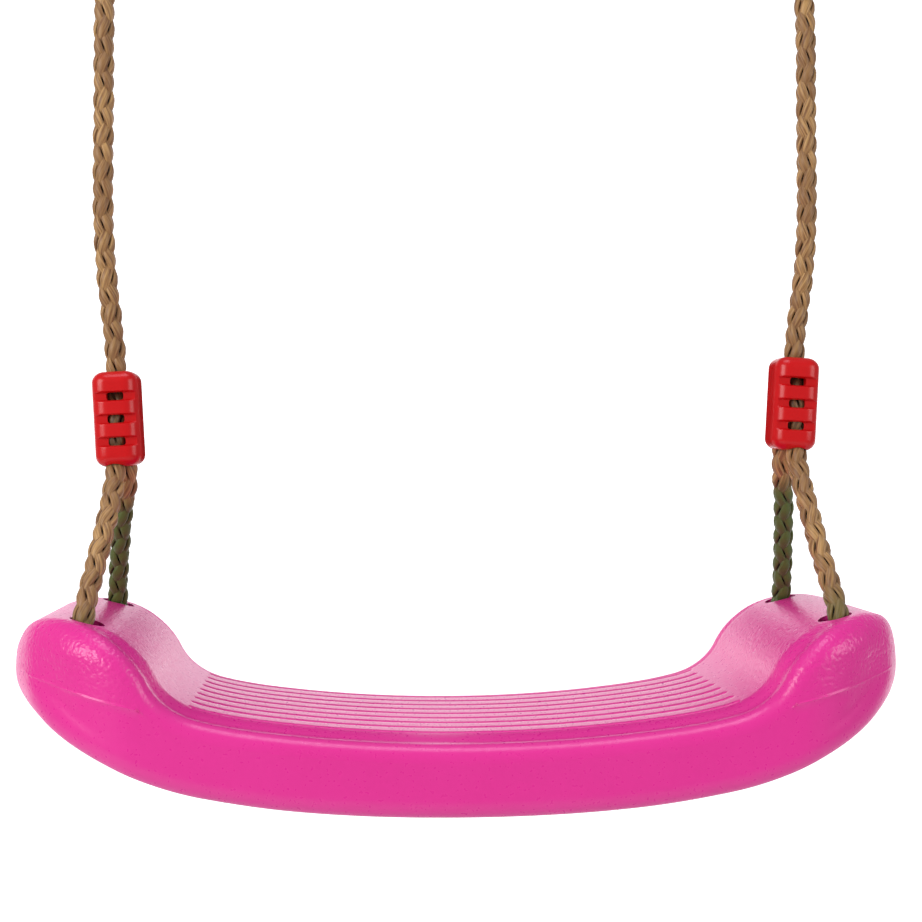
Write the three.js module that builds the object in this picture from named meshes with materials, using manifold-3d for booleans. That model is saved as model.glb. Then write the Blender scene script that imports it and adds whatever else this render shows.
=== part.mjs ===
// Moulded swing seat on two braided ropes, with rope clamps, thimbles and snap hooks.
// Millimetres, +Z up, X along the seat, -Y is the front. The origin is the hang point,
// midway between the inner tops of the two snap hooks.

import * as THREE from 'three';
import { mergeVertices } from 'three/addons/utils/BufferGeometryUtils.js';
import Module from 'manifold-3d';

const wasm = await Module();
wasm.setup();

// ---- driving dimensions ----

const GAP = 0.3;

const SEAT_TOP_Z = -505;
const SEAT_HALF_LENGTH = 215;
const SEAT_HALF_WIDTH = 82.5;
const WALL = 3;
const LAND_HALF_WIDTH = 59;
const EDGE_ROUND = 9;
const END_EDGE_ROUND = 15;
const NOSE_START = 150;
const NOSE_POWER = 2.15;
const NOSE_TURN_START = 0.8;
const NOSE_TURN_END = 0.9;
const NOSE_FULL_HEIGHT = 32;
const LAST_OPEN_PLACE = 0.985;
const LAST_HOLLOW_PLACE = 0.92;
const BEAD_FADE_START = 0.63;
const BEAD_FADE_END = 0.84;

const GROOVE_COUNT = 9;
const GROOVE_PITCH = 14.2;
const GROOVE_WIDTH = 3;
const GROOVE_DEPTH = 1.2;
const GROOVE_HALF_LENGTH = 127;

const HOLE_X = 175;
const HOLE_Y = 51;
const HOLE_RADIUS = 8;
const CHANNEL_RADIUS = 6.7;
const CHANNEL_CEILING = 10.6;
const CHANNEL_WALL = 2.5;
const LOWER_SLOT_HALF_SPAN = 4;

// Heights above the seat level that its cutters run between: under the whole seat, inside the
// hollow of a raised end, and over the whole seat.
const CUT_FLOOR = -40;
const CUT_MIDDLE = 35;
const CUT_CEILING = 80;

const ROPE_RADIUS = 5;
const ROPE_SIDES = 8;
const ROPE_CLEARANCE_RADIUS = 5.4;

const CLAMP_TOP = { x: 169, z: -329 };
const CLAMP_WIDTH = 22.6;
const CLAMP_DEPTH = 25;
const CLAMP_HEIGHT = 46.5;
const CLAMP_LEAN = 2.5;
const CLAMP_CORNER = 7;
const CLAMP_END_ROUND_WIDTH = 6;
const CLAMP_END_ROUND_HEIGHT = 5.5;
const CLAMP_END_BAND = 10;
const CLAMP_MIDDLE_BAND = 6.5;
const RECESS_HEIGHT = 4.5;
const RECESS_DEPTH = 2.6;
const RECESS_COUNT = 3;
const WINDOW_WIDTH = 9;
const WINDOW_STEP = 0.1;
const MOUTH_RADIUS = 6.2;
const MOUTH_DEPTH = 6;
const PEG_X = 9.1;
const PEG_RADIUS = 1.2;
const PEG_LENGTH = 3;
const PEG_INSET = 7;

// The left clamp is set a little lower on its rope than the right one. The rope's route moves with
// its clamp, and less and less away from it, down to nothing at the two fade heights.
const CLAMP_RAISE = { left: -4, right: 4 };
const RAISE_FADE_TOP = -258;
const RAISE_FADE_BOTTOM = -441;

const HOOK_X = 175;
const HOOK_WIRE = 3.5;
const HOOK_TOP_BEND = 14.5;
const HOOK_BOTTOM_BEND = 11.5;
const HOOK_INNER_HEIGHT = 56;
const NOSE_GAP = 1;
const TONGUE_THICKNESS = 3;
const TONGUE_LENGTH = 4.2;
const TONGUE_WIDTH = 4.6;
const TONGUE_CORNER = 0.5;
const LUG_WIDTH = 5;
const SLOT_THICKNESS = 3.6;
const GATE_RADIUS = 3.3;
const GATE_BELOW_PIVOT = 3.2;
const LUG_BELOW_PIVOT = 4.8;
const LUG_ABOVE_PIVOT = 2.8;
const FORK_ABOVE_PIVOT = 4.4;
const NOTCH_SPARE = 0.4;
const PIVOT_Z = -38;
const RIVET_RADIUS = 1.1;
const RIVET_HOLE_RADIUS = 1.4;
const RIVET_HEAD_RADIUS = 2.1;
const RIVET_HEAD_HEIGHT = 0.9;
const RIVET_HEAD_CHAMFER = 0.6;
const HOOK_CUT_LENGTH = 10;
const SPRING_BORE_RADIUS = 1.8;
const SPRING_BORE_DEPTH = 10;
const SPRING_MEAN_RADIUS = 1.15;
const SPRING_WIRE_RADIUS = 0.3;
const SPRING_TURNS = 5;

const THIMBLE_WALL = 1;
const THIMBLE_GROOVE_RADIUS = 5.75;
const THIMBLE_WRAP_DEGREES = 80;
const EYE_RADIUS = 17.5;
const EYE_TANGENT_DEGREES = 22;
const THIMBLE_LEG = 16;

const FERRULE_TOP_Z = -101;
const FERRULE_HEIGHT = 26;
const FERRULE_HALF_SPAN = 5.4;
const FERRULE_WALL = 2;

// ---- outlines and rope routes, for the right-hand side ----

// Knots of the seat's outline seen from the front: x, z above the seat level, heading in degrees.
const TOP_KNOTS = [
  [0, 2.6, 0], [80, 7, 6.5], [122, 14, 15], [143, 30, 64], [160, 48.5, 34],
  [184, 56.5, 6], [197, 55.4, -16], [208.5, 46.5, -56], [215, 34, -90],
];
const BOTTOM_KNOTS = [
  [0, -33.2, 0], [80, -29.4, 6], [120, -23.2, 11], [160, -9.8, 25], [195, 9.5, 38], [215, 34, 90],
];
const OUTER_STEPS = [3, 2, 3, 3, 3, 2, 3, 6];
const INNER_STEPS = [2, 1, 2, 2, 2, 1, 1, 2];

// Edge of the seat across its width: distance from the middle, depth below the land.
const BEADED_EDGE = [[82.5, 9], [81.9, 5.2], [79.6, 2.6], [76.8, 2], [72, 2.75]];
const INNER_EDGE = [[79.5, 12], [75.5, 6.4]];
const OUTER_LAND = [59, 40, 20, 0];
const INNER_LAND = [60, 30, 0];
const INNER_LAND_DROP = 1.5;

// Tail, up through the ferrule, round the eye, back through the ferrule and down to the clamp.
const UPPER_ROUTE = [
  [175, -5.4, -136], [175, -5.4, -127], [175, -5.4, -114], [175, -5.5, -102], [175, -7.9, -91.5],
  [175, -12.3, -82], [175, -16.2, -73.2], [175, -17.4, -64.8], [175, -14.8, -57.2], [175, -8.8, -51.4],
  [175, 0, -49.05], [175, 8.8, -51.4], [175, 14.8, -57.2], [175, 17.4, -64.8], [175, 16.2, -73.2],
  [175, 12.3, -82], [175, 7.9, -91.5], [175, 5.5, -102], [175, 5.4, -114], [175, 5.4, -127],
  [175, 4.2, -141], [175, 1.6, -156], [175, 0.2, -172], [175, 0, -198], [175.3, 0, -228],
  [175.2, 0, -258], [173.6, 0, -284], [170.9, 0, -306], [169.4, 0, -320], [169, 0, -329],
];

// From the clamp down the front leg, under the seat and up the rear leg into the clamp again.
const LOWER_ROUTE = [
  [168.7, 0, -334.6], [168.6, -1.2, -342], [168.6, -3.9, -352], [168.5, -4.9, -362],
  [168.4, -5, -374], [168.9, -8.5, -384], [170.4, -18.5, -400], [173.6, -33.9, -424],
  [176.2, -44.7, -441], [176.9, -49.6, -449], [177.1, -51.6, -457], [176.9, -51.6, -468],
  [175.7, -51, -480.5], [175, -49.5, -488.2], [175, -45.1, -494.7], [175, -38.7, -499],
  [175, -31, -500.5], [175, 0, -500.5],
  [175, 31, -500.5], [175, 38.7, -499], [175, 45.1, -494.7], [175, 49.5, -488.2],
  [175, 51, -480.5], [175, 51.6, -468], [175, 51.6, -457], [174.9, 49.6, -449],
  [174.2, 44.7, -441], [172, 33.9, -424], [168.3, 18.5, -400], [164.8, 8.5, -384],
  [164.2, 5.2, -374], [164.6, 5.2, -362], [165.2, 5.4, -352],
];

// ---- materials ----

function finish(colour, roughness, metalness) {
  return new THREE.MeshStandardMaterial({ color: colour, roughness, metalness });
}

const PINK_POLYETHYLENE = 0xf03ba0;
const TAN_ROPE = 0xa07850;
const RED_PLASTIC = 0xd42020;
const ZINC_STEEL = 0xb9bcc0;
const ALUMINIUM = 0xc4c6c8;
const SPRING_STEEL = 0x8d9094;

// ---- mesh and solid helpers ----

function closedGeometry(source) {
  const bare = new THREE.BufferGeometry();
  bare.setAttribute('position', source.getAttribute('position').clone());
  if (source.index) bare.setIndex(source.index.clone());
  const merged = mergeVertices(bare, 1e-4);
  const old = merged.index.array;
  const kept = [];
  for (let i = 0; i < old.length; i += 3) {
    const [a, b, c] = [old[i], old[i + 1], old[i + 2]];
    if (a !== b && b !== c && c !== a) kept.push(a, b, c);
  }
  merged.setIndex(kept);
  return merged;
}

function solidOf(geometry) {
  const closed = closedGeometry(geometry);
  const mesh = new wasm.Mesh({
    numProp: 3,
    vertProperties: Float32Array.from(closed.getAttribute('position').array),
    triVerts: Uint32Array.from(closed.index.array),
  });
  return new wasm.Manifold(mesh);
}

function geometryOf(solid) {
  const mesh = solid.getMesh();
  const geometry = new THREE.BufferGeometry();
  geometry.setAttribute('position', new THREE.BufferAttribute(mesh.vertProperties, 3));
  geometry.setIndex(new THREE.BufferAttribute(mesh.triVerts, 1));
  geometry.computeVertexNormals();
  return geometry;
}

// Six times the volume that a closed skin holds: negative when its faces point inwards.
function signedVolume(geometry) {
  const position = geometry.getAttribute('position');
  const corner = (i) => new THREE.Vector3().fromBufferAttribute(position, geometry.index.getX(i));
  let sum = 0;
  for (let i = 0; i < geometry.index.count; i += 3) {
    sum += corner(i).dot(corner(i + 1).cross(corner(i + 2)));
  }
  return sum;
}

// Joins rings of equal length into a skin that faces outwards. Each end is closed by pairing its
// points across.
function loft(rings) {
  const count = rings[0].length;
  const positions = rings.flat().flatMap((point) => [point.x, point.y, point.z]);
  const faces = [];
  for (let r = 0; r + 1 < rings.length; r += 1) {
    for (let i = 0; i < count; i += 1) {
      const a = r * count + i;
      const b = r * count + ((i + 1) % count);
      faces.push(a, b, b + count, a, b + count, a + count);
    }
  }
  const last = (rings.length - 1) * count;
  for (let i = 0; i + 1 < count / 2; i += 1) {
    const far = count - 1 - i;
    faces.push(i, far, far - 1, i, far - 1, i + 1);
    faces.push(last + i, last + i + 1, last + far - 1, last + i, last + far - 1, last + far);
  }
  const geometry = new THREE.BufferGeometry();
  geometry.setAttribute('position', new THREE.Float32BufferAttribute(positions, 3));
  geometry.setIndex(faces);
  const closed = closedGeometry(geometry);
  if (signedVolume(closed) < 0) closed.setIndex([...closed.index.array].reverse());
  return closed;
}

// A smooth curve that is stepped at its own points, so that bends get short steps.
class Route extends THREE.CatmullRomCurve3 {
  constructor(points) {
    super(points, false, 'centripetal');
  }

  getUtoTmapping(u) {
    return u;
  }
}

function circleShape(radius, sides) {
  const points = [];
  for (let i = 0; i < sides; i += 1) {
    const angle = (2 * Math.PI * (i + 0.5)) / sides;
    points.push(new THREE.Vector2(radius * Math.cos(angle), radius * Math.sin(angle)));
  }
  return new THREE.Shape(points);
}

function tube(route, radius, sides, steps) {
  return new THREE.ExtrudeGeometry(circleShape(radius, sides), { steps, extrudePath: route });
}

function roundedRectangle(width, depth, corner) {
  const [x, y] = [width / 2 - corner, depth / 2 - corner];
  const shape = new THREE.Shape();
  shape.absarc(x, y, corner, 0, Math.PI / 2);
  shape.absarc(-x, y, corner, Math.PI / 2, Math.PI);
  shape.absarc(-x, -y, corner, Math.PI, 1.5 * Math.PI);
  shape.absarc(x, -y, corner, 1.5 * Math.PI, 2 * Math.PI);
  shape.closePath();
  return shape;
}

// A round-ended slot or bar outline along Y: two half circles joined by straight sides.
function stadium(radius, halfSpan) {
  const shape = new THREE.Shape();
  shape.absarc(0, halfSpan, radius, 0, Math.PI);
  shape.absarc(0, -halfSpan, radius, Math.PI, 2 * Math.PI);
  shape.closePath();
  return shape;
}

function upright(shape, bottom, top, curveSegments) {
  const options = { depth: top - bottom, bevelEnabled: false, curveSegments };
  return new THREE.ExtrudeGeometry(shape, options).translate(0, 0, bottom);
}

// How far a rope point at height z moves with its side's clamp.
function raiseAt(z, side) {
  const raise = side < 0 ? CLAMP_RAISE.left : CLAMP_RAISE.right;
  const above = 1 - THREE.MathUtils.smoothstep(z, CLAMP_TOP.z, RAISE_FADE_TOP);
  const below = THREE.MathUtils.smoothstep(z, RAISE_FADE_BOTTOM, CLAMP_TOP.z - CLAMP_HEIGHT);
  return raise * Math.min(above, below);
}

function routePoints(list, side) {
  return list.map(([x, y, z]) => new THREE.Vector3(side * x, y, z + raiseAt(z, side)));
}

// ---- seat ----

function outlineCurve(knots) {
  const path = new THREE.CurvePath();
  for (let i = 0; i + 1 < knots.length; i += 1) {
    const [x0, z0, heading0] = knots[i];
    const [x1, z1, heading1] = knots[i + 1];
    const start = new THREE.Vector2(x0, z0);
    const end = new THREE.Vector2(x1, z1);
    const turn = THREE.MathUtils.degToRad(heading1 - heading0);
    const handle = start.distanceTo(end) / 3 / Math.cos(turn / 4) ** 2;
    const angle0 = THREE.MathUtils.degToRad(heading0);
    const angle1 = THREE.MathUtils.degToRad(heading1);
    const leave = new THREE.Vector2(Math.cos(angle0), Math.sin(angle0)).multiplyScalar(handle);
    const arrive = new THREE.Vector2(Math.cos(angle1), Math.sin(angle1)).multiplyScalar(handle);
    path.add(new THREE.CubicBezierCurve(start, start.clone().add(leave), end.clone().sub(arrive), end));
  }
  return path;
}

const topCurve = outlineCurve(TOP_KNOTS);
const bottomCurve = outlineCurve(BOTTOM_KNOTS);

// Fractions of the outline's length at which the seat's sections stand.
function sectionPlaces(steps) {
  const lengths = topCurve.getCurveLengths();
  const total = lengths[lengths.length - 1];
  const places = [0];
  steps.forEach((count, i) => {
    const begin = i === 0 ? 0 : lengths[i - 1];
    for (let k = 1; k <= count; k += 1) places.push((begin + ((lengths[i] - begin) * k) / count) / total);
  });
  return places;
}

// The way inward from an outline: square to it, and on the nose towards the opposite outline.
function inwardWay(place, upward) {
  const [near, far] = upward ? [topCurve, bottomCurve] : [bottomCurve, topCurve];
  const tangent = near.getTangentAt(place);
  const square = new THREE.Vector2(tangent.y, -tangent.x).multiplyScalar(upward ? 1 : -1);
  const open = Math.min(place, LAST_OPEN_PLACE);
  const across = far.getPointAt(open).sub(near.getPointAt(open)).normalize();
  const turned = THREE.MathUtils.smoothstep(place, NOSE_TURN_START, NOSE_TURN_END);
  return square.lerp(across, turned).normalize();
}

// The seat's ends are superellipses in plan: this is the share of the full width at a place.
function narrowing(place) {
  const middle = (topCurve.getPointAt(place).x + bottomCurve.getPointAt(place).x) / 2;
  const share = Math.max(0, (middle - NOSE_START) / (SEAT_HALF_LENGTH - NOSE_START));
  return Math.max(0, 1 - share ** 2) ** (1 / NOSE_POWER);
}

// A point of the seat's skin: on the outline, drop millimetres inward, and y across the seat
// before it narrows.
function skinPoint(curve, place, side, upward, drop, y) {
  const point = curve.getPointAt(place);
  const way = inwardWay(place, upward);
  const x = point.x + way.x * drop;
  return new THREE.Vector3(side * x, y * narrowing(place), point.y + way.y * drop);
}

// The plain edge is a quarter circle, which widens towards the seat's ends. On top, the beaded edge
// fades into it there.
function outerEdge(place, isTop) {
  const middleShare = 1 - THREE.MathUtils.smoothstep(place, BEAD_FADE_START, BEAD_FADE_END);
  const radius = THREE.MathUtils.lerp(END_EDGE_ROUND, EDGE_ROUND, middleShare);
  const beaded = isTop ? middleShare : 0;
  return BEADED_EDGE.map(([beadY, beadDrop], i) => {
    const angle = (Math.PI / 2) * (i / (BEADED_EDGE.length - 1));
    const plainY = SEAT_HALF_WIDTH - radius + radius * Math.cos(angle);
    const plainDrop = radius - radius * Math.sin(angle);
    return [
      THREE.MathUtils.lerp(plainY, beadY, beaded),
      THREE.MathUtils.lerp(plainDrop, beadDrop, beaded),
    ];
  });
}

// On the nose the edge's rounding shrinks with the height that is left.
function outerHalf(place, isTop) {
  const height = topCurve.getPointAt(place).y - bottomCurve.getPointAt(place).y;
  const full = THREE.MathUtils.clamp(height / NOSE_FULL_HEIGHT, 0, 1);
  const edge = outerEdge(place, isTop).map(([y, drop]) => [y, drop * full]);
  return [...edge, ...OUTER_LAND.map((y) => [y, 0])];
}

function sectionRing(place, side, topHalf, bottomHalf) {
  const both = (half) => [
    ...half.map(([y, drop]) => [-y, drop]),
    ...half.slice(0, -1).reverse(),
  ];
  const over = both(topHalf).map(([y, drop]) => skinPoint(topCurve, place, side, true, drop, y));
  const under = both(bottomHalf).map(([y, drop]) => skinPoint(bottomCurve, place, side, false, drop, y));
  return [...over, ...under.reverse()];
}

// halfAt gives the profile's half at a place, for the top or for the bottom.
function seatSkin(places, halfAt) {
  const ring = (place, side) => sectionRing(place, side, halfAt(place, true), halfAt(place, false));
  const right = places.map((place) => ring(place, 1));
  const left = places.slice(1).map((place) => ring(place, -1));
  return loft([...left.reverse(), ...right]);
}

function grooveCutter(y) {
  const isShort = (place) => topCurve.getPointAt(place).x < GROOVE_HALF_LENGTH;
  const places = sectionPlaces(OUTER_STEPS).filter(isShort);
  const lastPlace = places[places.length - 1];
  const tip = lastPlace + (GROOVE_HALF_LENGTH - topCurve.getPointAt(lastPlace).x) / topCurve.getLength();
  const stations = [...places, tip];
  const half = GROOVE_WIDTH / 2;
  const ring = (place, side) => [
    skinPoint(topCurve, place, side, true, -half, y - half),
    skinPoint(topCurve, place, side, true, -half, y + half),
    skinPoint(topCurve, place, side, true, GROOVE_DEPTH, y + half / 2),
    skinPoint(topCurve, place, side, true, GROOVE_DEPTH, y - half / 2),
  ];
  const left = stations.slice(1).map((place) => ring(place, -1)).reverse();
  return loft([...left, ...stations.map((place) => ring(place, 1))]);
}

function seatShell() {
  const innerDrop = (y) => (y > LAND_HALF_WIDTH ? WALL + INNER_LAND_DROP : WALL);
  const innerHalf = [...INNER_EDGE, ...INNER_LAND.map((y) => [y, innerDrop(y)])];
  const innerPlaces = sectionPlaces(INNER_STEPS).filter((place) => place < LAST_HOLLOW_PLACE);
  let hollow = solidOf(seatSkin([...innerPlaces, LAST_HOLLOW_PLACE], () => innerHalf));
  let shell = solidOf(seatSkin(sectionPlaces(OUTER_STEPS), outerHalf));
  for (const side of [-1, 1]) {
    const sleeve = stadium(CHANNEL_RADIUS + CHANNEL_WALL, HOLE_Y);
    const around = upright(sleeve, CUT_FLOOR, CHANNEL_CEILING + CHANNEL_WALL, 5);
    hollow = hollow.subtract(solidOf(around.translate(side * HOLE_X, 0, 0)));
  }
  shell = shell.subtract(hollow);
  for (const side of [-1, 1]) {
    const channel = upright(stadium(CHANNEL_RADIUS, HOLE_Y), CUT_FLOOR, CHANNEL_CEILING, 5);
    shell = shell.subtract(solidOf(channel.translate(side * HOLE_X, 0, 0)));
    for (const front of [-1, 1]) {
      const above = upright(circleShape(HOLE_RADIUS, 20), CUT_MIDDLE, CUT_CEILING, 1);
      const below = upright(stadium(HOLE_RADIUS, LOWER_SLOT_HALF_SPAN), CUT_FLOOR, CUT_MIDDLE, 6);
      above.translate(side * HOLE_X, front * HOLE_Y, 0);
      below.translate(side * HOLE_X, front * (HOLE_Y - LOWER_SLOT_HALF_SPAN), 0);
      shell = shell.subtract(solidOf(above)).subtract(solidOf(below));
    }
  }
  for (let i = 0; i < GROOVE_COUNT; i += 1) {
    const y = (i - (GROOVE_COUNT - 1) / 2) * GROOVE_PITCH;
    shell = shell.subtract(solidOf(grooveCutter(y)));
  }
  return geometryOf(shell);
}

// ---- rope ----

// The upper rope ends in a half ball at the clamp's mouth, where the seat tilts on it.
function upperRope(side) {
  const route = new Route(routePoints(UPPER_ROUTE, side));
  const rope = solidOf(tube(route, ROPE_RADIUS, ROPE_SIDES, UPPER_ROUTE.length - 1));
  const end = route.points[route.points.length - 1];
  const ball = new THREE.SphereGeometry(ROPE_RADIUS, ROPE_SIDES, 6).translate(end.x, end.y, end.z);
  return geometryOf(rope.add(solidOf(ball)));
}

function lowerRope(side) {
  const route = new Route(routePoints(LOWER_ROUTE, side));
  return tube(route, ROPE_RADIUS, ROPE_SIDES, LOWER_ROUTE.length - 1);
}

// ---- clamp, in its own frame: the mouth's middle is the origin and the clamp hangs below ----

function clampBlock() {
  const width = CLAMP_WIDTH - 2 * CLAMP_END_ROUND_WIDTH;
  const depth = CLAMP_DEPTH - 2 * CLAMP_END_ROUND_WIDTH;
  const corner = CLAMP_CORNER - CLAMP_END_ROUND_WIDTH;
  const block = new THREE.ExtrudeGeometry(roundedRectangle(width, depth, corner), {
    depth: CLAMP_HEIGHT - 2 * CLAMP_END_ROUND_HEIGHT,
    bevelThickness: CLAMP_END_ROUND_HEIGHT,
    bevelSize: CLAMP_END_ROUND_WIDTH,
    bevelSegments: 3,
    curveSegments: 3,
  });
  return solidOf(block.translate(0, 0, CLAMP_END_ROUND_HEIGHT - CLAMP_HEIGHT));
}

// The recesses are cut flat into the front and the back, so they run out on the round corners.
function clampBody(side, clampGroup) {
  let body = clampBlock();
  const coreDepth = CLAMP_DEPTH - 2 * RECESS_DEPTH;
  const core = solidOf(new THREE.BoxGeometry(3 * CLAMP_WIDTH, coreDepth, 3 * CLAMP_HEIGHT));
  const pitch = RECESS_HEIGHT + CLAMP_MIDDLE_BAND;
  for (let i = 0; i < RECESS_COUNT; i += 1) {
    const z = -CLAMP_END_BAND - RECESS_HEIGHT / 2 - i * pitch;
    const slab = new THREE.BoxGeometry(2 * CLAMP_WIDTH, 2 * CLAMP_DEPTH, RECESS_HEIGHT);
    const windowHeight = RECESS_HEIGHT - 2 * WINDOW_STEP;
    const windows = new THREE.BoxGeometry(WINDOW_WIDTH, 2 * CLAMP_DEPTH, windowHeight);
    body = body.subtract(solidOf(slab.translate(0, 0, z)).subtract(core));
    body = body.subtract(solidOf(windows.translate(0, 0, z)));
  }
  const toClamp = clampGroup.matrixWorld.clone().invert();
  const upperPart = UPPER_ROUTE.slice(-4);
  const lowerPart = LOWER_ROUTE.slice(0, 7);
  const rearPart = LOWER_ROUTE.slice(-6);
  for (const part of [upperPart, [upperPart[3], ...lowerPart], rearPart]) {
    const route = new Route(routePoints(part, side));
    const passage = tube(route, ROPE_CLEARANCE_RADIUS, 10, part.length - 1);
    body = body.subtract(solidOf(passage.applyMatrix4(toClamp)));
  }
  const tailEnd = routePoints(rearPart, side)[rearPart.length - 1].applyMatrix4(toClamp);
  const tailRoom = new THREE.SphereGeometry(ROPE_CLEARANCE_RADIUS, 10, 6);
  body = body.subtract(solidOf(tailRoom.translate(tailEnd.x, tailEnd.y, tailEnd.z)));
  const mouthProfile = [
    new THREE.Vector2(0, -MOUTH_DEPTH),
    new THREE.Vector2(ROPE_CLEARANCE_RADIUS, -MOUTH_DEPTH),
    new THREE.Vector2(MOUTH_RADIUS, 0),
    new THREE.Vector2(MOUTH_RADIUS, MOUTH_DEPTH),
    new THREE.Vector2(0, MOUTH_DEPTH),
  ];
  const mouth = new THREE.LatheGeometry(mouthProfile, 12).rotateX(Math.PI / 2);
  return body.subtract(solidOf(mouth));
}

function clampHalves(side, clampGroup) {
  const body = clampBody(side, clampGroup);
  const reach = 3 * CLAMP_HEIGHT;
  const halfSpace = (way) => {
    const box = new THREE.BoxGeometry(reach, reach, reach);
    return solidOf(box.translate(0, (way * (reach + GAP)) / 2, 0));
  };
  let front = body.intersect(halfSpace(-1));
  let back = body.intersect(halfSpace(1));
  for (const x of [-PEG_X, PEG_X]) {
    for (const z of [-PEG_INSET, PEG_INSET - CLAMP_HEIGHT]) {
      const peg = new THREE.CylinderGeometry(PEG_RADIUS, PEG_RADIUS, 2 * PEG_LENGTH, 10);
      const room = PEG_RADIUS + GAP;
      const socket = new THREE.CylinderGeometry(room, room, 2 * (PEG_LENGTH + GAP), 10);
      front = front.add(solidOf(peg.translate(x, 0, z)));
      back = back.subtract(solidOf(socket.translate(x, 0, z)));
    }
  }
  return { front: geometryOf(front), back: geometryOf(back) };
}

// ---- snap hook, in its own frame: the inner top of the hook is the origin, the gate is at +X ----

const topBendZ = HOOK_WIRE - HOOK_TOP_BEND;
const bottomBendZ = HOOK_BOTTOM_BEND - HOOK_WIRE - HOOK_INNER_HEIGHT;
const sideLean = Math.asin((HOOK_TOP_BEND - HOOK_BOTTOM_BEND) / (topBendZ - bottomBendZ));
const pivotX = HOOK_BOTTOM_BEND / Math.cos(sideLean) + (PIVOT_Z - bottomBendZ) * Math.tan(sideLean);
const noseZ = topBendZ - HOOK_TOP_BEND * Math.sin(sideLean);
const noseReach = (noseZ - PIVOT_Z) / Math.cos(sideLean);
const gateReach = noseReach - NOSE_GAP;

// Takes what stands along the gate's line, with the pivot as its origin, into the hook's frame.
function alongGate(geometry) {
  return geometry.rotateY(sideLean).translate(pivotX, 0, PIVOT_Z);
}

function bendPoints(radius, centreZ, fromDegrees, toDegrees, steps) {
  const points = [];
  for (let i = 0; i <= steps; i += 1) {
    const angle = THREE.MathUtils.degToRad(fromDegrees + ((toDegrees - fromDegrees) * i) / steps);
    points.push(new THREE.Vector3(radius * Math.cos(angle), 0, centreZ + radius * Math.sin(angle)));
  }
  return points;
}

function hookBody() {
  const lean = THREE.MathUtils.radToDeg(sideLean);
  const shoulderX = pivotX - LUG_BELOW_PIVOT * Math.sin(sideLean);
  const shoulderZ = PIVOT_Z - LUG_BELOW_PIVOT * Math.cos(sideLean);
  const points = [
    ...bendPoints(HOOK_TOP_BEND, topBendZ, -lean, 180 + lean, 10),
    ...bendPoints(HOOK_BOTTOM_BEND, bottomBendZ, 180 + lean, 360 - lean, 10),
    new THREE.Vector3(shoulderX, 0, shoulderZ),
  ];
  let hook = solidOf(tube(new Route(points), HOOK_WIRE, 10, points.length - 1));
  const tongueShape = roundedRectangle(TONGUE_WIDTH, TONGUE_THICKNESS, TONGUE_CORNER);
  const tongue = upright(tongueShape, noseReach - TONGUE_LENGTH, noseReach + NOSE_GAP, 1);
  const lugHeight = LUG_BELOW_PIVOT + LUG_ABOVE_PIVOT + NOSE_GAP;
  const lug = new THREE.BoxGeometry(LUG_WIDTH, TONGUE_THICKNESS, lugHeight);
  lug.translate(0, 0, LUG_ABOVE_PIVOT - lugHeight / 2);
  hook = hook.add(solidOf(alongGate(tongue))).add(solidOf(alongGate(lug)));
  return geometryOf(hook.subtract(solidOf(alongGate(rivetHole()))));
}

function rivetHole() {
  return new THREE.CylinderGeometry(RIVET_HOLE_RADIUS, RIVET_HOLE_RADIUS, HOOK_CUT_LENGTH, 12);
}

// The gate, its rivet and its spring stand along the gate's line with the pivot as their origin.
function gateBar() {
  let gate = solidOf(upright(circleShape(GATE_RADIUS, 12), -GATE_BELOW_PIVOT, gateReach, 1));
  const fork = new THREE.BoxGeometry(HOOK_CUT_LENGTH, SLOT_THICKNESS, HOOK_CUT_LENGTH);
  const notchHeight = TONGUE_LENGTH + NOTCH_SPARE;
  const notch = new THREE.BoxGeometry(HOOK_CUT_LENGTH, SLOT_THICKNESS, notchHeight);
  const bore = upright(circleShape(SPRING_BORE_RADIUS, 10), 0, FORK_ABOVE_PIVOT + SPRING_BORE_DEPTH, 1);
  gate = gate.subtract(solidOf(fork.translate(0, 0, FORK_ABOVE_PIVOT - HOOK_CUT_LENGTH / 2)));
  gate = gate.subtract(solidOf(notch.translate(0, 0, noseReach - notchHeight / 2)));
  return geometryOf(gate.subtract(solidOf(rivetHole())).subtract(solidOf(bore)));
}

function gateRivet() {
  const halfShank = GATE_RADIUS + GAP;
  const headTop = halfShank + RIVET_HEAD_HEIGHT;
  const profile = [
    new THREE.Vector2(0, -headTop),
    new THREE.Vector2(RIVET_HEAD_RADIUS - RIVET_HEAD_CHAMFER, -headTop),
    new THREE.Vector2(RIVET_HEAD_RADIUS, -halfShank),
    new THREE.Vector2(RIVET_RADIUS, -halfShank),
    new THREE.Vector2(RIVET_RADIUS, halfShank),
    new THREE.Vector2(RIVET_HEAD_RADIUS, halfShank),
    new THREE.Vector2(RIVET_HEAD_RADIUS - RIVET_HEAD_CHAMFER, headTop),
    new THREE.Vector2(0, headTop),
  ];
  return new THREE.LatheGeometry(profile, 12);
}

class SpringCurve extends THREE.Curve {
  getPoint(t, target = new THREE.Vector3()) {
    const angle = 2 * Math.PI * SPRING_TURNS * t;
    const bottom = LUG_ABOVE_PIVOT + SPRING_WIRE_RADIUS + GAP;
    const top = FORK_ABOVE_PIVOT + SPRING_BORE_DEPTH - SPRING_WIRE_RADIUS - GAP;
    const [x, y] = [SPRING_MEAN_RADIUS * Math.cos(angle), SPRING_MEAN_RADIUS * Math.sin(angle)];
    return target.set(x, y, THREE.MathUtils.lerp(bottom, top, t));
  }
}

// ---- thimble and ferrule, in the hook's frame ----

// Radius of the thimble where it bears on the hook's wire, and the middle of the eye.
const bearingRadius = EYE_RADIUS - THIMBLE_GROOVE_RADIUS - THIMBLE_WALL;
const eyeZ = GAP - HOOK_INNER_HEIGHT - bearingRadius;

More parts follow.
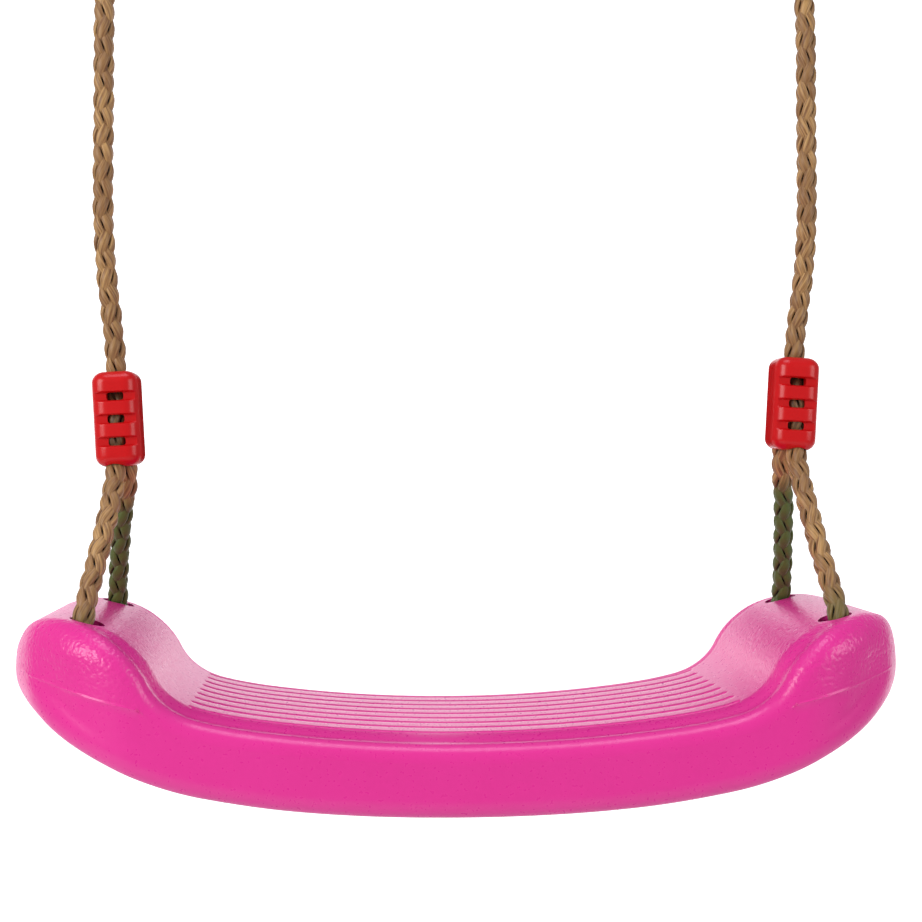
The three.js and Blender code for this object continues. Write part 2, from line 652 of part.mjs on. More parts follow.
function thimbleRing(point, inward) {
  const wrap = THREE.MathUtils.degToRad(THIMBLE_WRAP_DEGREES);
  const arc = (radius) => [-1, -0.6, -0.2, 0.2, 0.6, 1].map((part) => {
    const angle = part * wrap;
    const across = new THREE.Vector3(radius * Math.sin(angle), 0, 0);
    return point.clone().addScaledVector(inward, radius * Math.cos(angle)).add(across);
  });
  return [...arc(THIMBLE_GROOVE_RADIUS + THIMBLE_WALL), ...arc(THIMBLE_GROOVE_RADIUS).reverse()];
}

function thimble() {
  const rings = [];
  const sweep = 180 + 2 * EYE_TANGENT_DEGREES;
  const steps = 12;
  const radial = (degrees) => {
    const angle = THREE.MathUtils.degToRad(degrees);
    return new THREE.Vector3(0, Math.cos(angle), Math.sin(angle));
  };
  const centre = new THREE.Vector3(0, 0, eyeZ);
  for (let i = 0; i <= steps; i += 1) {
    const out = radial(-EYE_TANGENT_DEGREES + (sweep * i) / steps);
    rings.push(thimbleRing(centre.clone().addScaledVector(out, EYE_RADIUS), out.clone().negate()));
  }
  for (const end of [-1, 1]) {
    const out = radial(end < 0 ? -EYE_TANGENT_DEGREES : 180 + EYE_TANGENT_DEGREES);
    const down = new THREE.Vector3(0, -end * out.z, end * out.y);
    const tip = centre.clone().addScaledVector(out, EYE_RADIUS).addScaledVector(down, THIMBLE_LEG);
    const ring = thimbleRing(tip, out.clone().negate());
    if (end < 0) rings.unshift(ring);
    else rings.push(ring);
  }
  return loft(rings);
}

function ferrule() {
  const shape = stadium(ROPE_CLEARANCE_RADIUS + FERRULE_WALL, FERRULE_HALF_SPAN);
  shape.holes.push(stadium(ROPE_CLEARANCE_RADIUS, FERRULE_HALF_SPAN));
  return upright(shape, FERRULE_TOP_Z - FERRULE_HEIGHT, FERRULE_TOP_Z, 6);
}

// ---- assembly ----

const swing = new THREE.Group();

function addMesh(parent, name, geometry, material) {
  const mesh = new THREE.Mesh(geometry, material);
  mesh.name = name;
  parent.add(mesh);
  return mesh;
}

const seat = addMesh(swing, 'seat_shell', seatShell(), finish(PINK_POLYETHYLENE, 0.4, 0));
seat.position.set(0, 0, SEAT_TOP_Z);

for (const [word, side] of [['left', -1], ['right', 1]]) {
  addMesh(swing, `rope_upper_${word}`, upperRope(side), finish(TAN_ROPE, 0.6, 0));
  addMesh(swing, `rope_lower_${word}`, lowerRope(side), finish(TAN_ROPE, 0.6, 0));

  const clamp = new THREE.Group();
  clamp.position.set(side * CLAMP_TOP.x, 0, CLAMP_TOP.z + CLAMP_RAISE[word]);
  clamp.rotation.y = side * Math.asin(CLAMP_LEAN / CLAMP_HEIGHT);
  clamp.updateMatrixWorld(true);
  const halves = clampHalves(side, clamp);
  addMesh(clamp, `clamp_front_${word}`, halves.front, finish(RED_PLASTIC, 0.25, 0));
  addMesh(clamp, `clamp_back_${word}`, halves.back, finish(RED_PLASTIC, 0.25, 0));
  swing.add(clamp);

  const hook = new THREE.Group();
  hook.position.set(side * HOOK_X, 0, 0);
  hook.rotation.z = side > 0 ? 0 : Math.PI;
  addMesh(hook, `hook_body_${word}`, hookBody(), finish(ZINC_STEEL, 0.3, 1));
  addMesh(hook, `thimble_${word}`, thimble(), finish(ZINC_STEEL, 0.35, 1));
  addMesh(hook, `ferrule_${word}`, ferrule(), finish(ALUMINIUM, 0.4, 1));

  const gate = new THREE.Group();
  gate.position.set(pivotX, 0, PIVOT_Z);
  gate.rotation.y = sideLean;
  addMesh(gate, `hook_gate_${word}`, gateBar(), finish(ZINC_STEEL, 0.3, 1));
  addMesh(gate, `gate_rivet_${word}`, gateRivet(), finish(ZINC_STEEL, 0.3, 1));
  const springTube = tube(new SpringCurve(), SPRING_WIRE_RADIUS, 5, 6 * SPRING_TURNS);
  addMesh(gate, `gate_spring_${word}`, springTube, finish(SPRING_STEEL, 0.35, 1));
  hook.add(gate);
  swing.add(hook);
}

export default swing;
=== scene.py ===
"""Visible surfaces and finishes of a moulded swing seat on two braided ropes, over its CAD frame.

Lengths in the classes are millimetres, as in the CAD source, and turn to metres when a mesh is
made. +X runs along the seat, -Y is the front and +Z is up. The origin is the hang point.
"""

import logging
import math
from dataclasses import dataclass, field
from enum import Enum
from typing import Any, Sequence

import bmesh
import bpy
import numpy as np
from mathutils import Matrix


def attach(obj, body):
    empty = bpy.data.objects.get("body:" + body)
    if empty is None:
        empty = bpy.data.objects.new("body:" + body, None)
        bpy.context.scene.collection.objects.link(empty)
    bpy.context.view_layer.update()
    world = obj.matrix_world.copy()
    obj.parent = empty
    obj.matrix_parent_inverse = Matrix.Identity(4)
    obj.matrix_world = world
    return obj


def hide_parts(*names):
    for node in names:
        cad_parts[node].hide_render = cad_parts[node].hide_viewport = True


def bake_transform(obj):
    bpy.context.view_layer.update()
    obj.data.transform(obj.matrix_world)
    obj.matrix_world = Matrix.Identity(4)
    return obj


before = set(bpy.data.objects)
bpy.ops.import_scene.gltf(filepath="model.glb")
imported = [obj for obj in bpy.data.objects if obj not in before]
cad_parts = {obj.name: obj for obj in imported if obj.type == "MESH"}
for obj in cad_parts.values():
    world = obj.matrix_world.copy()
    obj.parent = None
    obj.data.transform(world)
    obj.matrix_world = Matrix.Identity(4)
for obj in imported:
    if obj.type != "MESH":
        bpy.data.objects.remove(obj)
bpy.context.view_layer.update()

MM = 0.001
SEAT_LEVEL = -505.0

log = logging.getLogger("swing")


class Side(Enum):
    """The two ends of the swing, with the sign of their X."""

    LEFT = -1
    RIGHT = 1

    @property
    def word(self) -> str:
        """The side's name as the CAD nodes spell it."""
        return self.name.lower()

    @property
    def clamp_raise(self) -> float:
        """How far this side's clamp is set above the drawn height, in millimetres."""
        return 4.0 * self.value

    @property
    def hook_turn(self) -> float:
        """Sign that turns the hook half round on the left, so that both gates face outwards."""
        return float(self.value)


# ---- numbers to surfaces ----


def ease(share: np.ndarray) -> np.ndarray:
    """Smooth step: three times the square less twice the cube of a share held to 0 to 1."""
    held = np.clip(share, 0.0, 1.0)
    return held * held * (3.0 - 2.0 * held)


def unit(vectors: np.ndarray) -> np.ndarray:
    """Vectors divided by their own lengths."""
    return vectors / np.linalg.norm(vectors, axis=-1, keepdims=True)


def smooth_curve(knots: Sequence[Sequence[float]], steps: int) -> np.ndarray:
    """Points of a centripetal Catmull-Rom curve, the same number between each two knots.

    Each span is a Hermite cubic. Its end slopes are the differences to the neighbouring knots,
    each over the square root of its distance.

    Args:
        knots: The points that the curve passes through, in any number of dimensions.
        steps: Steps from one knot to the next.

    Returns:
        An array with one row for each point, from the first knot to the last.
    """
    through = np.asarray(knots, float)
    first = 2.0 * through[:1] - through[1:2]
    last = 2.0 * through[-1:] - through[-2:-1]
    whole = np.vstack([first, through, last])
    gap = np.sqrt(np.linalg.norm(np.diff(whole, axis=0), axis=1))[:, None]
    before, here, after = gap[:-2], gap[1:-1], gap[2:]
    p0, p1, p2, p3 = whole[:-3], whole[1:-2], whole[2:-1], whole[3:]
    leave = here * ((p1 - p0) / before - (p2 - p0) / (before + here) + (p2 - p1) / here)
    arrive = here * ((p2 - p1) / here - (p3 - p1) / (here + after) + (p3 - p2) / after)
    t = np.linspace(0.0, 1.0, steps, endpoint=False)[None, :, None]
    spans = (
        (2 * t**3 - 3 * t**2 + 1) * p1[:, None]
        + (t**3 - 2 * t**2 + t) * leave[:, None]
        + (3 * t**2 - 2 * t**3) * p2[:, None]
        + (t**3 - t**2) * arrive[:, None]
    )
    return np.vstack([spans.reshape(-1, through.shape[1]), through[-1:]])


def evenly(points: np.ndarray, spacing: float) -> np.ndarray:
    """The same line with points at equal steps of about the given spacing along it."""
    lengths = np.concatenate([[0.0], np.cumsum(np.linalg.norm(np.diff(points, axis=0), axis=1))])
    count = max(2, round(lengths[-1] / spacing) + 1)
    wanted = np.linspace(0.0, lengths[-1], count)
    return np.stack([np.interp(wanted, lengths, axis) for axis in points.T], axis=1)


def path_axes(path: np.ndarray) -> tuple[np.ndarray, np.ndarray, np.ndarray]:
    """Directions along a path and square to it.

    The first square direction is the X axis less its part along the path, so nothing here may
    run along X. The other is square to both.

    Args:
        path: Points along the path.

    Returns:
        The tangent, the direction nearest to X and the third direction, one row for each point.
    """
    tangent = unit(np.gradient(path, axis=0))
    across = unit(np.array([1.0, 0.0, 0.0]) - tangent[:, :1] * tangent)
    return tangent, across, np.cross(tangent, across)


def lattice(rows: int, columns: int, wrapped: bool = True) -> np.ndarray:
    """Quads between neighbouring rows of grid points that are numbered row by row.

    Args:
        rows: Number of rows.
        columns: Number of points in a row.
        wrapped: Whether the last column joins the first.

    Returns:
        Four point numbers for each quad.
    """
    row = np.arange(rows - 1)[:, None] * columns
    column = np.arange(columns if wrapped else columns - 1)[None, :]
    following = (column + 1) % columns
    corners = [row + column, row + following, row + following + columns, row + column + columns]
    return np.stack(corners, axis=-1).reshape(-1, 4)


@dataclass
class Surface:
    """A closed skin: its points in millimetres, its quads and its flat end faces."""

    points: np.ndarray
    quads: np.ndarray
    ends: list[list[int]] = field(default_factory=list)

    @classmethod
    def tube(cls, rings: np.ndarray) -> "Surface":
        """Skin through rings of equal length, closed by a flat face on each end ring.

        Args:
            rings: Points by ring, by place on the ring, by X, Y and Z.

        Returns:
            The skin, facing outwards.
        """
        rows, columns = rings.shape[:2]
        last = (rows - 1) * columns
        ends = [list(range(columns))[::-1], list(range(last, last + columns))]
        return cls(rings.reshape(-1, 3), lattice(rows, columns), ends).outward()

    @classmethod
    def ring(cls, rings: np.ndarray) -> "Surface":
        """Skin through rings that close on themselves, as a torus does.

        Args:
            rings: Points by ring, by place on the ring, by X, Y and Z.

        Returns:
            The skin, facing outwards.
        """
        rows, columns = rings.shape[:2]
        quads = lattice(rows + 1, columns) % (rows * columns)
        return cls(rings.reshape(-1, 3), quads).outward()

    @classmethod
    def together(cls, parts: Sequence["Surface"]) -> "Surface":
        """Several skins as one, their point numbers moved on past each other."""
        starts = np.cumsum([0] + [len(part.points) for part in parts[:-1]])
        quads = np.vstack([part.quads + start for part, start in zip(parts, starts)])
        ends = [
            [number + int(start) for number in end]
            for part, start in zip(parts, starts)
            for end in part.ends
        ]
        return cls(np.vstack([part.points for part in parts]), quads, ends)

    def outward(self) -> "Surface":
        """The same skin, turned round if the volume that its triangles sum to is negative."""
        a, b, c, d = (self.points[self.quads[:, i]] for i in range(4))
        volume = np.einsum("ij,ij->", a, np.cross(b, c)) + np.einsum("ij,ij->", a, np.cross(c, d))
        for end in self.ends:
            fan = self.points[end]
            spokes = np.cross(fan[1:-1], fan[2:])
            volume += float(np.sum(spokes @ fan[0]))
        if volume >= 0.0:
            return self
        return Surface(self.points, self.quads[:, ::-1], [end[::-1] for end in self.ends])

    def moved(self, way: Sequence[float]) -> "Surface":
        """The same skin, moved by a distance in millimetres along X, Y and Z."""
        return Surface(self.points + np.asarray(way, float), self.quads, self.ends)

    def turned(self, matrix: np.ndarray) -> "Surface":
        """The same skin, turned by a three by three matrix about the origin."""
        return Surface(self.points @ matrix.T, self.quads, self.ends)


def turn_about_y(angle: float) -> np.ndarray:
    """Matrix that turns by an angle in radians about the Y axis, from Z towards X."""
    c, s = math.cos(angle), math.sin(angle)
    return np.array([[c, 0.0, s], [0.0, 1.0, 0.0], [-s, 0.0, c]])


def half_turn(side: Side) -> np.ndarray:
    """Matrix that leaves the right-hand side alone and turns the left half round about Z."""
    return np.diag([side.hook_turn, side.hook_turn, 1.0])


def circle(radius: float, sides: int) -> np.ndarray:
    """Points of a circle about the origin of a plane."""
    angle = 2.0 * np.pi * (np.arange(sides) + 0.5) / sides
    return radius * np.stack([np.cos(angle), np.sin(angle)], axis=1)


def rounded_rectangle(width: float, depth: float, corner: float, steps: int) -> np.ndarray:
    """Outline of a rectangle with round corners, with four more points along each side.

    Args:
        width: Size along the first axis.
        depth: Size along the second axis.
        corner: Radius of the corners.
        steps: Steps round each corner.

    Returns:
        Points in order round the outline.
    """
    reach = np.array([width / 2.0 - corner, depth / 2.0 - corner])
    quarters = []
    for number, signs in enumerate([(1, 1), (-1, 1), (-1, -1), (1, -1)]):
        angle = np.pi / 2.0 * (number + np.linspace(0.0, 1.0, steps + 1))
        arc = corner * np.stack([np.cos(angle), np.sin(angle)], axis=1)
        quarters.append(reach * np.array(signs) + arc)
    outline = []
    for here, following in zip(quarters, quarters[1:] + quarters[:1]):
        share = np.linspace(0.0, 1.0, 6)[1:-1, None]
        outline += [here, here[-1] + (following[0] - here[-1]) * share]
    return np.vstack(outline)


def stadium(radius: float, half_span: float, steps: int) -> np.ndarray:
    """Outline of two half circles, half_span either side of the middle along the second axis."""
    angle = np.linspace(0.0, np.pi, steps + 1)
    upper = radius * np.stack([np.cos(angle), np.sin(angle)], axis=1) + [0.0, half_span]
    return np.vstack([upper, -upper])


def upright(outline: np.ndarray, bottom: float, top: float) -> Surface:
    """Prism of a flat outline in X and Y between two heights."""
    rings = np.stack(
        [np.column_stack([outline, np.full(len(outline), height)]) for height in (bottom, top)]
    )
    return Surface.tube(rings)


def round_bar(path: np.ndarray, radius: float, sides: int) -> Surface:
    """Circles of one radius set square to a path."""
    _, across, up = path_axes(path)
    outline = circle(radius, sides)
    rings = path[:, None] + across[:, None] * outline[:, :1] + up[:, None] * outline[:, 1:]
    return Surface.tube(rings)


def block(low: Sequence[float], high: Sequence[float]) -> Surface:
    """Cutting block between two opposite corners."""
    corners = np.array([[low[0], low[1]], [high[0], low[1]], [high[0], high[1]], [low[0], high[1]]])
    return upright(corners, low[2], high[2])


# ---- surfaces to objects ----


def add_object(name: str, surface: Surface) -> bpy.types.Object:
    """Puts a surface into the scene as a smooth-shaded mesh, in metres."""
    mesh = bpy.data.meshes.new(name)
    faces = surface.quads.tolist() + surface.ends
    mesh.from_pydata((surface.points * MM).tolist(), [], faces)
    mesh.shade_smooth()
    made = bpy.data.objects.new(name, mesh)
    bpy.context.scene.collection.objects.link(made)
    return made


def weld(piece: bpy.types.Object, distance: float) -> None:
    """Merges points of a piece that lie within a distance in millimetres."""
    work = bmesh.new()
    work.from_mesh(piece.data)
    bmesh.ops.remove_doubles(work, verts=work.verts, dist=distance * MM)
    work.to_mesh(piece.data)
    work.free()


def carve(piece: bpy.types.Object, operation: str, others: Sequence[bpy.types.Object]) -> None:
    """Cuts, joins or keeps the common part of solids, and takes the other solids away.

    Args:
        piece: The solid that stays.
        operation: DIFFERENCE, UNION or INTERSECT.
        others: The solids that it is combined with, one after another.
    """
    for other in others:
        modifier = piece.modifiers.new("carve", "BOOLEAN")
        modifier.operation = operation
        modifier.solver = "MANIFOLD"
        modifier.object = other
    result = piece.evaluated_get(bpy.context.evaluated_depsgraph_get())
    mesh = bpy.data.meshes.new_from_object(result)
    before = piece.data
    piece.modifiers.clear()
    piece.data = mesh
    mesh.name = piece.name
    bpy.data.meshes.remove(before)
    for other in others:
        used = other.data
        bpy.data.objects.remove(other)
        bpy.data.meshes.remove(used)


def finish_piece(
    piece: bpy.types.Object,
    material: bpy.types.Material,
    body: str,
    nodes: Sequence[str],
    crease: float = 35.0,
) -> bpy.types.Object:
    """Dresses a piece, keeps its real creases sharp and fixes it to the frame.

    Args:
        piece: The finished mesh.
        material: Its only material.
        body: The CAD body that it moves with.
        nodes: The CAD nodes that it stands for.
        crease: Angle in degrees past which an edge between faces stays sharp.

    Returns:
        The piece.
    """
    piece.data.materials.clear()
    piece.data.materials.append(material)
    piece.data.shade_smooth()
    piece.data.set_sharp_from_angle(angle=math.radians(crease))
    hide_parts(*nodes)
    if body:
        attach(piece, body)
    log.info("%s: %d faces", piece.name, len(piece.data.polygons))
    return piece


# ---- finishes ----


def linear(hexadecimal: str) -> tuple[float, float, float, float]:
    """Linear colour of an sRGB hex value such as '#D42020'."""
    parts = [int(hexadecimal[i : i + 2], 16) / 255.0 for i in (1, 3, 5)]
    curved = [p / 12.92 if p <= 0.04045 else ((p + 0.055) / 1.055) ** 2.4 for p in parts]
    return (*curved, 1.0)


def add_node(
    tree: bpy.types.NodeTree,
    kind: str,
    inputs: dict[Any, Any] | None = None,
    **settings: Any,
) -> bpy.types.Node:
    """Adds a node with its settings, and sets or links its sockets.

    Args:
        tree: The tree that gets the node.
        kind: The node's Blender type name.
        inputs: Socket names or numbers, each with a number, a colour or another node's output.
        settings: The node's own properties.

    Returns:
        The node.
    """
    node = tree.nodes.new(kind)
    for name, value in settings.items():
        setattr(node, name, value)
    for socket, value in (inputs or {}).items():
        if isinstance(value, bpy.types.NodeSocket):
            tree.links.new(value, node.inputs[socket])
        else:
            node.inputs[socket].default_value = value
    return node


def new_material(name: str) -> tuple[bpy.types.Material, bpy.types.NodeTree, bpy.types.Node]:
    """An empty material of that name, its node tree and its shader."""
    material = bpy.data.materials.new(name)
    material.use_nodes = True
    tree = material.node_tree
    tree.nodes.clear()
    shader = add_node(tree, "ShaderNodeBsdfPrincipled")
    add_node(tree, "ShaderNodeOutputMaterial", {"Surface": shader.outputs["BSDF"]})
    return material, tree, shader


def per_metre(size: float) -> float:
    """Noise scale whose features are about so many millimetres across."""
    return 1.0 / (size * MM)


def mix_colours(
    tree: bpy.types.NodeTree, share: Any, first: Any, second: Any, way: str = "MIX"
) -> bpy.types.NodeSocket:
    """Colour between two colours or sockets.

    Args:
        tree: The tree that gets the node.
        share: How much of the second, as a number or a socket.
        first: Colour where the share is 0.
        second: Colour where the share is 1.
        way: How the two are blended.

    Returns:
        The mixed colour's socket.
    """
    node = add_node(tree, "ShaderNodeMix", data_type="RGBA", blend_type=way)
    for socket, value in ((node.inputs[0], share), (node.inputs[6], first), (node.inputs[7], second)):
        if isinstance(value, bpy.types.NodeSocket):
            tree.links.new(value, socket)
        else:
            socket.default_value = value
    return node.outputs[2]


@dataclass(frozen=True)
class BlowMouldedPolyethylene:
    """Pigmented high-density polyethylene blown against a grit-blasted steel mould.

    The eye sees a satin skin with a fine orange-peel grain, because the parison only just fills
    the mould's texture and the raised ends, blown last, take it most, and colour that clouds
    faintly where the wall is thicker.
    """

    colour: str = "#E62C90"
    thin_wall: str = "#EE3399"
    grain: float = 1.8
    grain_depth: float = 0.5
    grain_heights: tuple[float, float] = (-490.0, -466.0)
    weak_grain: float = 0.12
    cloud: float = 55.0
    roughness: float = 0.3

    def material(self) -> bpy.types.Material:
        """Satin skin: cloud noise in the colour, grain noise in the bump and the roughness."""
        material, tree, shader = new_material("blow_moulded_hdpe_satin")
        place = add_node(tree, "ShaderNodeTexCoord").outputs["Object"]
        cloud = add_node(
            tree, "ShaderNodeTexNoise",
            {"Vector": place, "Scale": per_metre(self.cloud), "Detail": 2.0},
        )
        colour = mix_colours(
            tree, cloud.outputs["Fac"], linear(self.colour), linear(self.thin_wall)
        )
        grain = add_node(
            tree, "ShaderNodeTexNoise",
            {"Vector": place, "Scale": per_metre(self.grain), "Detail": 1.0, "Roughness": 0.4},
        )
        rough = add_node(
            tree, "ShaderNodeMapRange",
            {"Value": grain.outputs["Fac"], "From Min": 0.3, "From Max": 0.7,
             "To Min": self.roughness - 0.03, "To Max": self.roughness + 0.04},
        )
        height = add_node(tree, "ShaderNodeSeparateXYZ", {"Vector": place}).outputs["Z"]
        strength = add_node(
            tree, "ShaderNodeMapRange",
            {"Value": height, "From Min": self.grain_heights[0] * MM,
             "From Max": self.grain_heights[1] * MM, "To Min": self.weak_grain, "To Max": 1.0},
        )
        bump = add_node(
            tree, "ShaderNodeBump",
            {"Height": grain.outputs["Fac"], "Distance": self.grain_depth * MM,
             "Strength": strength.outputs["Result"]},
        )
        tree.links.new(colour, shader.inputs["Base Color"])
        tree.links.new(rough.outputs["Result"], shader.inputs["Roughness"])
        tree.links.new(bump.outputs["Normal"], shader.inputs["Normal"])
        shader.inputs["IOR"].default_value = 1.52
        return material


@dataclass(frozen=True)
class BraidedPolyethylene:
    """Eight-strand braid of dull tan polyethylene filament.

    The eye sees plump strands with streaks of single filaments along them, painted shade in the
    grooves where strands dive under each other, and olive on the stretch that runs under the seat.
    """

    tan: str = "#7A5028"
    pale: str = "#C2955A"
    # Dark brown painted as shade in the braid's grooves and inside the clamp.
    painted_shade: str = "#24140A"
    olive: str = "#4F5E1E"
    filament: float = 0.9
    filament_depth: float = 0.22
    streak_range: tuple[float, float] = (0.36, 0.62)

    def material(self) -> bpy.types.Material:
        """Filament noise stretched along each strand, over tan and olive, with painted shade in the
        grooves and inside the clamp.
        """
        material, tree, shader = new_material("braided_polyethylene_filament")
        tone = add_node(tree, "ShaderNodeAttribute", attribute_name="tone")
        parts = add_node(tree, "ShaderNodeSeparateColor", {"Color": tone.outputs["Color"]})
        fibre = add_node(tree, "ShaderNodeAttribute", attribute_name="fibre")
        streaks = add_node(
            tree, "ShaderNodeTexNoise",
            {"Vector": fibre.outputs["Vector"], "Scale": 1.0 / self.filament, "Detail": 3.0},
        )
        spread = add_node(
            tree, "ShaderNodeMapRange",
            {"Value": streaks.outputs["Fac"], "From Min": self.streak_range[0],
             "From Max": self.streak_range[1]},
        )
        base = mix_colours(tree, spread.outputs["Result"], linear(self.tan), linear(self.pale))
        tinted = mix_colours(tree, parts.outputs["Green"], base, linear(self.tan))
        with_olive = mix_colours(tree, parts.outputs["Red"], tinted, linear(self.olive))
        # Painted shade: the dark brown laid on by the tone's blue share.
        grooved = mix_colours(tree, parts.outputs["Blue"], with_olive, linear(self.painted_shade))
        bump = add_node(
            tree, "ShaderNodeBump",
            {"Height": streaks.outputs["Fac"], "Distance": self.filament_depth * MM},
        )
        tree.links.new(grooved, shader.inputs["Base Color"])
        tree.links.new(bump.outputs["Normal"], shader.inputs["Normal"])
        shader.inputs["Roughness"].default_value = 0.5
        shader.inputs["Sheen Weight"].default_value = 0.15
        return material


@dataclass(frozen=True)
class InjectionMouldedPlastic:
    """Glossy red polypropylene shot into a polished mould.

    The eye sees clean highlights that waver a little over sink marks, and faint flow clouds.
    """

    colour: str = "#C60C10"
    cloud_colour: str = "#D01416"
    cloud: float = 14.0
    sink: float = 9.0
    sink_depth: float = 0.06
    roughness: float = 0.27
    reflection: float = 0.36

    def material(self) -> bpy.types.Material:
        """Gloss over a colour with flow clouds, and a long shallow bump for the sink marks."""
        material, tree, shader = new_material("injection_moulded_polypropylene_gloss")
        place = add_node(tree, "ShaderNodeTexCoord").outputs["Object"]
        cloud = add_node(
            tree, "ShaderNodeTexNoise", {"Vector": place, "Scale": per_metre(self.cloud)}
        )
        colour = mix_colours(
            tree, cloud.outputs["Fac"], linear(self.colour), linear(self.cloud_colour)
        )
        sink = add_node(
            tree, "ShaderNodeTexNoise",
            {"Vector": place, "Scale": per_metre(self.sink), "Detail": 1.0},
        )
        bump = add_node(
            tree, "ShaderNodeBump",
            {"Height": sink.outputs["Fac"], "Distance": self.sink_depth * MM},
        )
        tree.links.new(colour, shader.inputs["Base Color"])
        tree.links.new(bump.outputs["Normal"], shader.inputs["Normal"])
        shader.inputs["Roughness"].default_value = self.roughness
        shader.inputs["IOR"].default_value = 1.49
        shader.inputs["Specular IOR Level"].default_value = self.reflection
        return material


@dataclass(frozen=True)
class WorkedMetal:
    """A bare or plated metal part with the marks of how it was made.

    The eye sees a tinted, cloudy reflection from the plating and fine marks from drawing,
    pressing or tumbling.
    """

    name: str
    colour: str
    shade: str
    roughness: float
    mark: float
    mark_depth: float
    cloud: float = 6.0

    def material(self) -> bpy.types.Material:
        """Plating clouds in the colour and the roughness, and worked marks in the bump."""
        material, tree, shader = new_material(self.name)
        place = add_node(tree, "ShaderNodeTexCoord").outputs["Object"]
        cloud = add_node(
            tree, "ShaderNodeTexNoise",
            {"Vector": place, "Scale": per_metre(self.cloud), "Detail": 3.0},
        )
        colour = mix_colours(tree, cloud.outputs["Fac"], linear(self.colour), linear(self.shade))
        rough = add_node(
            tree, "ShaderNodeMapRange",
            {"Value": cloud.outputs["Fac"], "From Min": 0.3, "From Max": 0.7,
             "To Min": self.roughness - 0.05, "To Max": self.roughness + 0.1},
        )
        marks = add_node(
            tree, "ShaderNodeTexNoise",
            {"Vector": place, "Scale": per_metre(self.mark), "Detail": 4.0},
        )
        bump = add_node(
            tree, "ShaderNodeBump",
            {"Height": marks.outputs["Fac"], "Distance": self.mark_depth * MM},
        )
        tree.links.new(colour, shader.inputs["Base Color"])
        tree.links.new(rough.outputs["Result"], shader.inputs["Roughness"])
        tree.links.new(bump.outputs["Normal"], shader.inputs["Normal"])
        shader.inputs["Metallic"].default_value = 1.0
        return material


ZINC_PLATE = WorkedMetal("zinc_plated_steel_bright", "#C9CCD0", "#B4B9C2", 0.26, 0.9, 0.02)
PRESSED_ALUMINIUM = WorkedMetal("pressed_aluminium_dull", "#C4C6C8", "#A9ACAF", 0.42, 0.5, 0.05)
DRAWN_SPRING_WIRE = WorkedMetal("drawn_spring_wire", "#9A9DA2", "#7C8087", 0.34, 0.3, 0.02)


# ---- camera, light and floor ----


